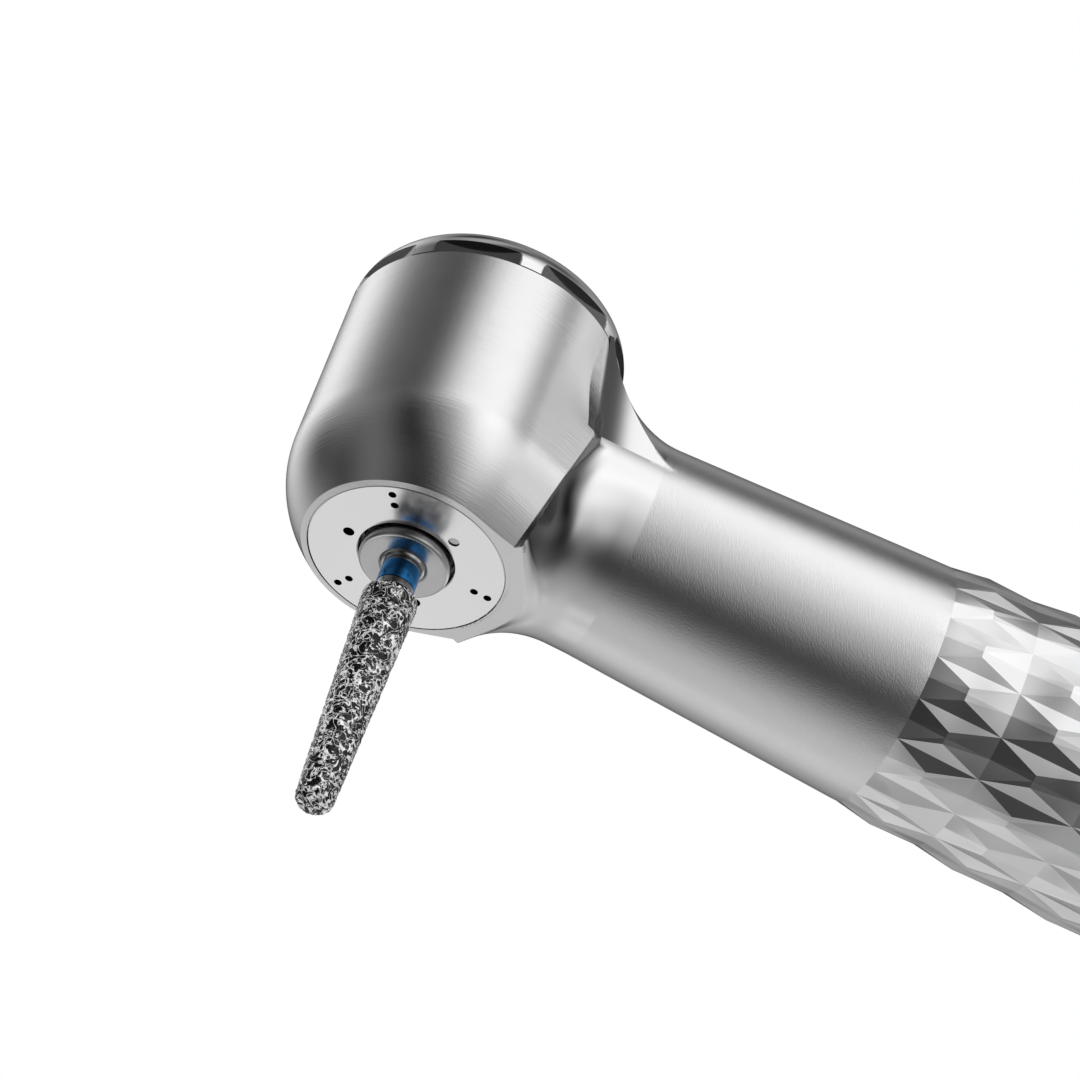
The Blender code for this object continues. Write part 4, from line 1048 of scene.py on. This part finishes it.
@dataclass
class SprayFace:
    """The polished plate under the head, drilled in pairs and singly, and the dark seal behind it."""

    radius: float = 4.17
    hole: float = 2.05
    top: float = -4.98
    edge: float = 0.04
    pairs: int = 3
    pair_radii: tuple[float, float] = (3.10, 3.71)
    pair_hole: float = 0.17
    port_radius: float = 2.58
    port_hole: float = 0.24
    pale_port: int = 7
    pale_depth: float = 0.06
    seal: tuple[tuple[float, float], ...] = ((2.35, -4.95), (3.95, -4.95), (3.95, -4.965), (2.35, -4.965))

    def holes(self) -> list[np.ndarray]:
        """Return the outlines of the drilled holes: circles in pairs, and the air ports half way between."""
        turn = np.arange(self.pairs) * 2.0 * np.pi / self.pairs
        places = [(radius, np.pi + turn, self.pair_hole) for radius in self.pair_radii]
        places.append((self.port_radius, turn, self.port_hole))
        round_points = np.arange(36) * 2.0 * np.pi / 36
        circle = np.stack([np.cos(round_points), np.sin(round_points)], axis=1)
        outlines = []
        for radius, angles, hole in places:
            for angle in angles:
                outlines.append(radius * np.array([np.cos(angle), np.sin(angle)]) + hole * circle)
        return outlines

    def build(self, finishes: Finishes) -> None:
        """Make the plate as a flat sheet between outlines, with a wall down each outline.

        Args:
            finishes: The shared materials.
        """
        angle = np.arange(180) * 2.0 * np.pi / 180
        circle = np.stack([np.cos(angle), np.sin(angle)], axis=1)
        drilled = self.holes()
        outlines = [(self.radius - self.edge) * circle, (self.hole + self.edge) * circle, *drilled]
        corners, edges = [], []
        for outline in outlines:
            first = len(corners)
            corners += [Vector(point) for point in outline.tolist()]
            edges += [(first + i, first + (i + 1) % len(outline)) for i in range(len(outline))]
        sheet = delaunay_2d_cdt(corners, edges, [], 1, 1e-6)
        flat = np.array([point[:] for point in sheet[0]])
        faces = np.array([face for face in sheet[2] if len(face) == 3])
        middle = flat[faces].mean(axis=1)
        keep = np.hypot(middle[:, 0], middle[:, 1]) > self.hole + self.edge
        for outline in drilled:
            centre, radius = outline.mean(axis=0), float(np.ptp(outline[:, 0])) / 2.0
            keep &= np.hypot(*(middle - centre).T) > radius * 0.999
        faces = np.concatenate([faces[keep], faces[keep][:, -1:]], axis=1)
        skin = Skin()
        for z in (FACE_Z, self.top):
            level = np.column_stack([flat[:, 0] + HEAD_X, flat[:, 1], np.full(len(flat), z)])
            skin.facets(level, faces)
        for outline in drilled:
            # The hole walls take the second material, painted near black as shade.
            skin.grid(self.wall(outline, [(1.0, FACE_Z), (1.0, self.top)]), wrap_columns=True, tone=1)
        pale = drilled[self.pale_port]
        middle = pale.mean(axis=0)
        rings = [(middle + (pale - middle) * share) for share in (0.93, 0.5, 0.02)]
        disc = [self.wall(ring, [(1.0, FACE_Z + self.pale_depth)])[0] for ring in rings]
        skin.grid(np.stack(disc), wrap_columns=True, tone=2)
        outer, inner = self.radius / (self.radius - self.edge), self.hole / (self.hole + self.edge)
        low, high = FACE_Z + self.edge, self.top - 0.001
        sides = ((outlines[0], outer), (outlines[1], inner))
        for outline, share in sides:
            steps = [(1.0, FACE_Z), (share, low), (share, high), (1.0, self.top)]
            skin.grid(self.wall(outline, steps), wrap_columns=True)
        piece = skin.make("spray_plate_skin")
        materials = (finishes.mirror, finishes.dark, finishes.disc)
        finish_piece(piece, Body.HANDLE, Slot.POLISHED, materials, "spray_face_plate")
        skin = Skin()
        skin.grid(turned(np.array(self.seal), 120), wrap_rows=True, wrap_columns=True)
        finish_piece(skin.make("spray_seal"), Body.HANDLE, Slot.RUBBER, (finishes.rubber,))

    @staticmethod
    def wall(outline: np.ndarray, steps: list[tuple[float, float]]) -> np.ndarray:
        """Carry an outline down a wall: at each step it is scaled about the head axis and set at a height.

        Args:
            outline: The outline's points.
            steps: The scale and the height of each step.

        Returns:
            A grid of points with one row for each step.
        """
        rows = [
            np.column_stack([HEAD_X + outline[:, 0] * scale, outline[:, 1] * scale, np.full(len(outline), z)])
            for scale, z in steps
        ]
        return np.stack(rows)


@dataclass
class Nose:
    """The turned disc that spins under the head, with a rolled edge."""

    radius: float = 1.92
    face: float = -5.93
    edge: float = 0.16
    wall: float = 1.86
    lip: float = 0.98
    lip_edge: float = 1.05
    hub: tuple[tuple[float, float], ...] = ((0.98, -5.51), (1.5875, -5.51), (1.5875, -4.18))

    def build(self, finishes: Finishes) -> None:
        """Make the disc.

        Args:
            finishes: The shared materials.
        """
        angle = np.radians(np.linspace(0.0, 90.0, 9))
        roll = bow(angle, (self.radius - self.edge, self.face + self.edge), self.edge, -self.edge)
        side = [(self.wall, self.hub[-1][1]), (self.wall, -4.98), (self.radius, FACE_Z)]
        rim = [(1.5, self.face), (self.lip_edge, self.face), (self.lip, self.face + 0.05)]
        profile = np.concatenate([side, roll, rounded([*rim, *self.hub], 0.02, False)])
        skin = Skin()
        skin.grid(turned(profile, 240), wrap_rows=True, wrap_columns=True)
        finish_piece(skin.make("nose_skin"), Body.ROTOR, Slot.SATIN, (finishes.disc,), "nose_disc")


@dataclass
class Bur:
    """The friction-grip bur: a shank, a colour band and a tapered head covered in diamond grains."""

    shank: float = 0.8
    shank_top: float = 3.2
    shank_end: float = -7.53
    band_top: float = -6.2
    band_height: float = 0.92
    grit_top: float = -7.56
    top_radius: float = 1.16
    tip_radius: float = 0.79
    tip: float = -18.93
    shoulder: float = 0.35
    tip_round: float = 0.55
    grain: float = 0.26
    relief: float = 0.012
    around: int = 24
    along: int = 60
    grain_reach: float = 0.66
    grain_steepness: float = 4.0
    waist: float = 0.06
    seat: float = 0.03
    band_proud: float = 0.02
    columns: int = 300

    def grains(self, angle: np.ndarray, along: np.ndarray) -> np.ndarray:
        """Relief of the diamond grains.

        Each cell of a jittered lattice holds one grain, a steep pyramid cut off by a tilted plane. The
        distance from its middle is the largest of three slanted widths. The relief is the highest grain.

        Args:
            angle: Angles round the bur, in radians.
            along: Distances along the surface.

        Returns:
            The relief in millimetres.
        """
        rng = np.random.default_rng(11)
        around, rows = self.around, self.along
        jitter = rng.uniform(0.1, 0.9, (rows, around, 2))
        slant = rng.uniform(0.0, np.pi, (rows, around))
        size = rng.uniform(0.62, 1.12, (rows, around))
        tilt = rng.uniform(-0.35, 0.35, (rows, around, 2))
        level = rng.uniform(0.5, 1.0, (rows, around))
        u, v = (angle / (2.0 * np.pi) * around) % around, along / self.grain
        cell_u, cell_v = np.floor(u).astype(int), np.floor(v).astype(int)
        best = np.zeros(np.broadcast(u, v).shape)
        for step_v in (-1, 0, 1):
            for step_u in (-1, 0, 1):
                column = (cell_u + step_u) % around
                row = np.clip(cell_v + step_v, 0, rows - 1)
                du = u - (cell_u + step_u + jitter[row, column, 0])
                dv = v - (cell_v + step_v + jitter[row, column, 1])
                widest = np.zeros(best.shape)
                for part in range(3):
                    a = slant[row, column] + part * np.pi / 3.0
                    widest = np.maximum(widest, np.abs(du * np.cos(a) + dv * np.sin(a)))
                left = 1.0 - widest / (self.grain_reach * size[row, column])
                slope = tilt[row, column, 0] * du + tilt[row, column, 1] * dv
                plane = level[row, column] * self.relief + slope * self.grain
                pyramid = left * self.grain_steepness * self.relief
                best = np.maximum(best, np.minimum(pyramid, plane))
        return best

    def build(self, finishes: Finishes) -> None:
        """Make the shank, the band and the gritted head.

        Args:
            finishes: The shared materials.
        """
        radius, waist = self.shank, self.shank - self.waist
        high, low = self.band_top, self.band_top - self.band_height
        above, below = high + self.seat, low - self.seat
        shank = rounded(
            [
                (0.0, self.shank_top), (radius - 0.15, self.shank_top), (radius, self.shank_top - 0.2),
                (radius, above), (waist, above), (waist, below),
                (radius, below), (radius, self.shank_end), (0.0, self.shank_end),
            ],
            0.03,
            False,
        )
        skin = Skin()
        skin.grid(turned(shank, 160), wrap_columns=True)
        finish_piece(skin.make("shank_skin"), Body.BUR, Slot.GROUND, (finishes.ground,), "bur_shank")
        outer, inner = radius + self.band_proud, radius - self.seat
        band = rounded([(outer, high), (outer, low), (inner, low), (inner, high)], 0.04, True)
        skin = Skin()
        skin.grid(turned(band, 160), wrap_rows=True, wrap_columns=True)
        finish_piece(skin.make("band_skin"), Body.BUR, Slot.ENAMEL, (finishes.enamel,), "bur_colour_band")
        self.gritted_head(finishes)

    def gritted_head(self, finishes: Finishes) -> None:
        """Make the tapered head, its surface pushed out by the grains.

        Args:
            finishes: The shared materials.
        """
        turn = np.radians(np.linspace(90.0, 0.0, 14))
        middle = (self.top_radius - self.shoulder, self.grit_top - self.shoulder)
        top = bow(turn, middle, self.shoulder, self.shoulder)
        turn = np.radians(np.linspace(0.0, 90.0, 18))
        middle = (self.tip_radius - self.tip_round, self.tip + self.tip_round)
        low = bow(turn, middle, self.tip_round, -self.tip_round)
        side = line(top[-1], low[0], 250)[1:-1]
        crown = line((0.0, self.grit_top), (top[0, 0], self.grit_top), 8)[:-1]
        foot = line((low[-1, 0], self.tip), (0.0, self.tip), 8)[1:]
        profile = np.concatenate([crown, top, side, low, foot])
        grid = turned(profile, self.columns)
        slope = np.gradient(profile, axis=0)
        slope /= np.linalg.norm(slope, axis=1, keepdims=True)
        outward = np.stack([-slope[:, 1], slope[:, 0]], axis=1)
        angle = np.arange(self.columns) * 2.0 * np.pi / self.columns
        along = np.concatenate([[0.0], np.cumsum(np.linalg.norm(np.diff(profile, axis=0), axis=1))])
        relief = self.grains(angle[None, :] + 0.0 * along[:, None], along[:, None] + 0.0 * angle[None, :])
        inwards = ease(profile[:, 0] / 0.5)[:, None]
        push = (relief - self.relief * 0.8) * inwards
        grid[..., 0] += push * outward[:, :1] * np.cos(angle)
        grid[..., 1] += push * outward[:, :1] * np.sin(angle)
        grid[..., 2] += push * outward[:, 1:]
        skin = Skin()
        skin.grid(grid, wrap_columns=True)
        piece = skin.make("grit_skin", sharp=22.0)
        finish_piece(piece, Body.BUR, Slot.GRIT, (finishes.grit,), "bur_diamond_head")


@dataclass
class Carried:
    """The solids that keep their own shape: each gets its finish, and the round ones a smooth copy."""

    smooth: tuple[tuple[str, Body, Slot, str], ...] = (
        ("connector_block", Body.HANDLE, Slot.SATIN, "ground"),
        ("rear_ring", Body.HANDLE, Slot.POLISHED, "chrome"),
        ("chuck_collet", Body.ROTOR, Slot.GROUND, "ground"),
    )
    kinds: tuple[tuple[str, str], ...] = (
        ("oring", "rubber"),
        ("ball_", "ceramic"),
        ("cage", "cage"),
        ("impeller", "alloy"),
    )

    def copy_smooth(self, node: str) -> bpy.types.Object:
        """Copy a solid with its corners merged and its round faces shaded smooth.

        Args:
            node: The solid's name.

        Returns:
            The copy.
        """
        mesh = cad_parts[node].data.copy()
        shape = bmesh.new()
        shape.from_mesh(mesh)
        bmesh.ops.remove_doubles(shape, verts=shape.verts, dist=1e-6)
        shape.to_mesh(mesh)
        shape.free()
        mesh.shade_smooth()
        mesh.set_sharp_from_angle(angle=math.radians(32.0))
        mesh.materials.clear()
        made = bpy.data.objects.new(node + "_skin", mesh)
        bpy.context.scene.collection.objects.link(made)
        return made

    def build(self, finishes: Finishes) -> None:
        """Dress every solid that no other piece replaces.

        Args:
            finishes: The shared materials.
        """
        for node, body, slot, finish in self.smooth:
            finish_piece(self.copy_smooth(node), body, slot, (getattr(finishes, finish),), node)
        for name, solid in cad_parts.items():
            material = finishes.ground
            for word, finish in self.kinds:
                if word in name:
                    material = getattr(finishes, finish)
            solid.data.materials.clear()
            solid.data.materials.append(material)
            LOG.info("%s: %s", name, material.name)


@dataclass(frozen=True)
class Card:
    """A soft studio card seen in the metal: a round glow, or a dark flag where its strength is negative."""

    azimuth: float
    elevation: float
    sharpness: float
    strength: float

    def direction(self) -> tuple[float, float, float]:
        """Return the unit direction towards the card."""
        a, e = math.radians(self.azimuth), math.radians(self.elevation)
        return (math.cos(e) * math.cos(a), math.cos(e) * math.sin(a), math.sin(e))


@dataclass
class Studio:
    """The camera, the pale floor, the key lamp and the cards that the metal reflects."""

    eye: tuple[float, float, float] = (128.16, 135.11, -120.28)
    right: tuple[float, float, float] = (-0.8924, 0.3744, 0.2519)
    up: tuple[float, float, float] = (0.4329, 0.5527, 0.7122)
    back: tuple[float, float, float] = (0.1274, 0.7446, -0.6552)
    lens: float = 146.07
    sensor: float = 36.0
    floor_z: float = -700.0
    floor_half: float = 3000.0
    lamp_place: tuple[float, float, float] = (HEAD_X, 450.0, 400.0)
    lamp_size: float = 400.0
    lamp_power: float = 1.2
    base: float = 0.360
    darkest: float = 0.01
    plain: float = 0.9
    cards: tuple[Card, ...] = (
        Card(74.4, 51.5, 21.7, 1.392),
        Card(148.4, 33.2, 79.3, 1.380),
        Card(310.1, 38.8, 16.6, 1.328),
        Card(217.7, 1.7, 31.5, 1.273),
        Card(62.5, 55.8, 33.4, -0.993),
        Card(272.8, -55.0, 38.4, -0.877),
        Card(305.3, -57.7, 17.3, 0.852),
        Card(352.5, 79.7, 13.9, 0.833),
        Card(320.4, 75.9, 37.6, -0.790),
        Card(118.8, 40.0, 25.0, 0.784),
        Card(144.7, -0.7, 75.6, 0.773),
        Card(234.8, 12.5, 27.2, -0.769),
        Card(109.2, 8.0, 11.8, 0.749),
        Card(315.9, 31.8, 31.2, -0.727),
        Card(138.7, 18.6, 51.8, 0.707),
        Card(267.1, -41.9, 50.0, 0.330),
        Card(261.9, -56.7, 62.2, 0.603),
        Card(171.6, 48.9, 58.1, 0.557),
        Card(147.8, 19.1, 15.8, -0.536),
        Card(134.3, 40.9, 40.0, -0.534),
        Card(149.3, 80.6, 25.1, -0.531),
        Card(280.4, 43.3, 8.7, -0.509),
        Card(74.0, 72.8, 71.1, -0.460),
        Card(331.3, 14.6, 16.8, -0.453),
        Card(63.9, 27.9, 6.0, -0.420),
        Card(5.0, 60.5, 13.1, -0.410),
        Card(97.0, 27.2, 46.0, 0.385),
        Card(321.1, 22.7, 10.1, 0.383),
        Card(242.5, 10.5, 22.5, 0.323),
        Card(354.4, -16.7, 6.6, -0.299),
        Card(225.4, -38.5, 9.8, 0.276),
        Card(81.1, -83.7, 8.0, -0.261),
        Card(71.3, 15.8, 15.0, 0.258),
        Card(266.5, -21.6, 34.6, 0.248),
        Card(107.7, -25.0, 33.6, 0.241),
        Card(58.9, -4.6, 8.0, -0.221),
        Card(87.0, -39.2, 7.1, -0.216),
        Card(181.3, -81.7, 18.8, 0.142),
        Card(179.3, -39.6, 16.8, -0.138),
        Card(134.4, -52.6, 16.3, -0.124),
        Card(46.2, -44.3, 12.8, -0.124),
        Card(10.8, 9.6, 26.5, -0.063),
    )

    def camera(self) -> None:
        """Place the camera at the photograph's angle."""
        data = bpy.data.cameras.new("camera")
        data.sensor_width = self.sensor
        data.lens = self.lens
        data.clip_start, data.clip_end = 0.001, 10.0
        camera = bpy.data.objects.new("camera", data)
        bpy.context.scene.collection.objects.link(camera)
        axes = Matrix((self.right, self.up, self.back)).transposed().to_4x4()
        camera.matrix_world = Matrix.Translation(Vector(self.eye) * MM) @ axes
        bpy.context.scene.camera = camera

    def world(self) -> None:
        """Light the scene: white to the camera, plain to matt surfaces, and the cards to metal and glass."""
        world = bpy.data.worlds.new("studio")
        bpy.context.scene.world = world
        world.use_nodes = True
        world.node_tree.nodes.clear()
        graph = Graph(world.node_tree)
        place = graph.add("TexCoord", {}, "Generated")
        total: Value = self.base
        for card in self.cards:
            facing = graph.add("VectorMath", {0: place, 1: card.direction()}, "Value", "DOT_PRODUCT")
            fall = graph.compute("MULTIPLY_ADD", facing, card.sharpness, -card.sharpness)
            glow = graph.compute("EXPONENT", fall)
            total = graph.compute("MULTIPLY_ADD", glow, card.strength, total)
        shown = (graph.compute("MAXIMUM", total, self.darkest), self.plain, 1.0)
        lights = [graph.add("Background", {"Color": WHITE, "Strength": strength}) for strength in shown]
        cards, plain, white = lights
        rays = graph.add("LightPath", {}).node.outputs
        shiny = graph.compute("MAXIMUM", rays["Is Glossy Ray"], rays["Is Transmission Ray"])
        lit = graph.add("MixShader", {0: shiny, 1: plain, 2: cards})
        seen = graph.add("MixShader", {0: rays["Is Camera Ray"], 1: lit, 2: white})
        graph.put(graph.tree.nodes.new("ShaderNodeOutputWorld").inputs["Surface"], seen)

    def floor(self) -> None:
        """Lay a pale floor well below the handpiece."""
        mesh = bpy.data.meshes.new("floor")
        half, z = self.floor_half * MM, self.floor_z * MM
        ends = [(-half, -half, z), (half, -half, z), (half, half, z), (-half, half, z)]
        mesh.from_pydata(ends, [], [(0, 1, 2, 3)])
        floor = bpy.data.objects.new("floor", mesh)
        bpy.context.scene.collection.objects.link(floor)
        pale, graph = Graph.material("pale floor")
        graph.shade({"Base Color": (0.9, 0.9, 0.9, 1.0), "Roughness": 0.8})
        mesh.materials.append(pale)
        floor.visible_glossy = False
        floor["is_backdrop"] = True

    def lamp(self) -> None:
        """Hang one broad, soft key lamp over the near side, aimed at the head."""
        data = bpy.data.lights.new("key", "AREA")
        data.shape = "DISK"
        data.size = self.lamp_size * MM
        data.energy = self.lamp_power
        key = bpy.data.objects.new("key", data)
        bpy.context.scene.collection.objects.link(key)
        where = Vector(self.lamp_place) * MM
        aim = (where - Vector((HEAD_X * MM, 0.0, 0.0))).to_track_quat("Z", "Y").to_matrix().to_4x4()
        key.matrix_world = Matrix.Translation(where) @ aim
        key.visible_glossy = False

    def build(self) -> None:
        """Set up the studio and the plain view transform."""
        self.camera()
        self.world()
        self.floor()
        self.lamp()
        bpy.context.scene.view_settings.view_transform = "Standard"


def corners() -> list[list[float]]:
    """Return the lowest and highest corners of what shows, as plain numbers."""
    return [[float(value) for value in corner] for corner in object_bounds()]


def main() -> None:
    """Build the studio and every piece."""
    logging.basicConfig(level=logging.INFO, format="%(message)s")
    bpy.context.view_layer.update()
    Studio().build()
    finishes = Finishes()
    head = Head()
    Carried().build(finishes)
    head.build(finishes)
    Handle(head).build(finishes)
    Cap().build(finishes)
    SprayFace().build(finishes)
    Nose().build(finishes)
    Bur().build(finishes)


if __name__ == "__main__":
    main()
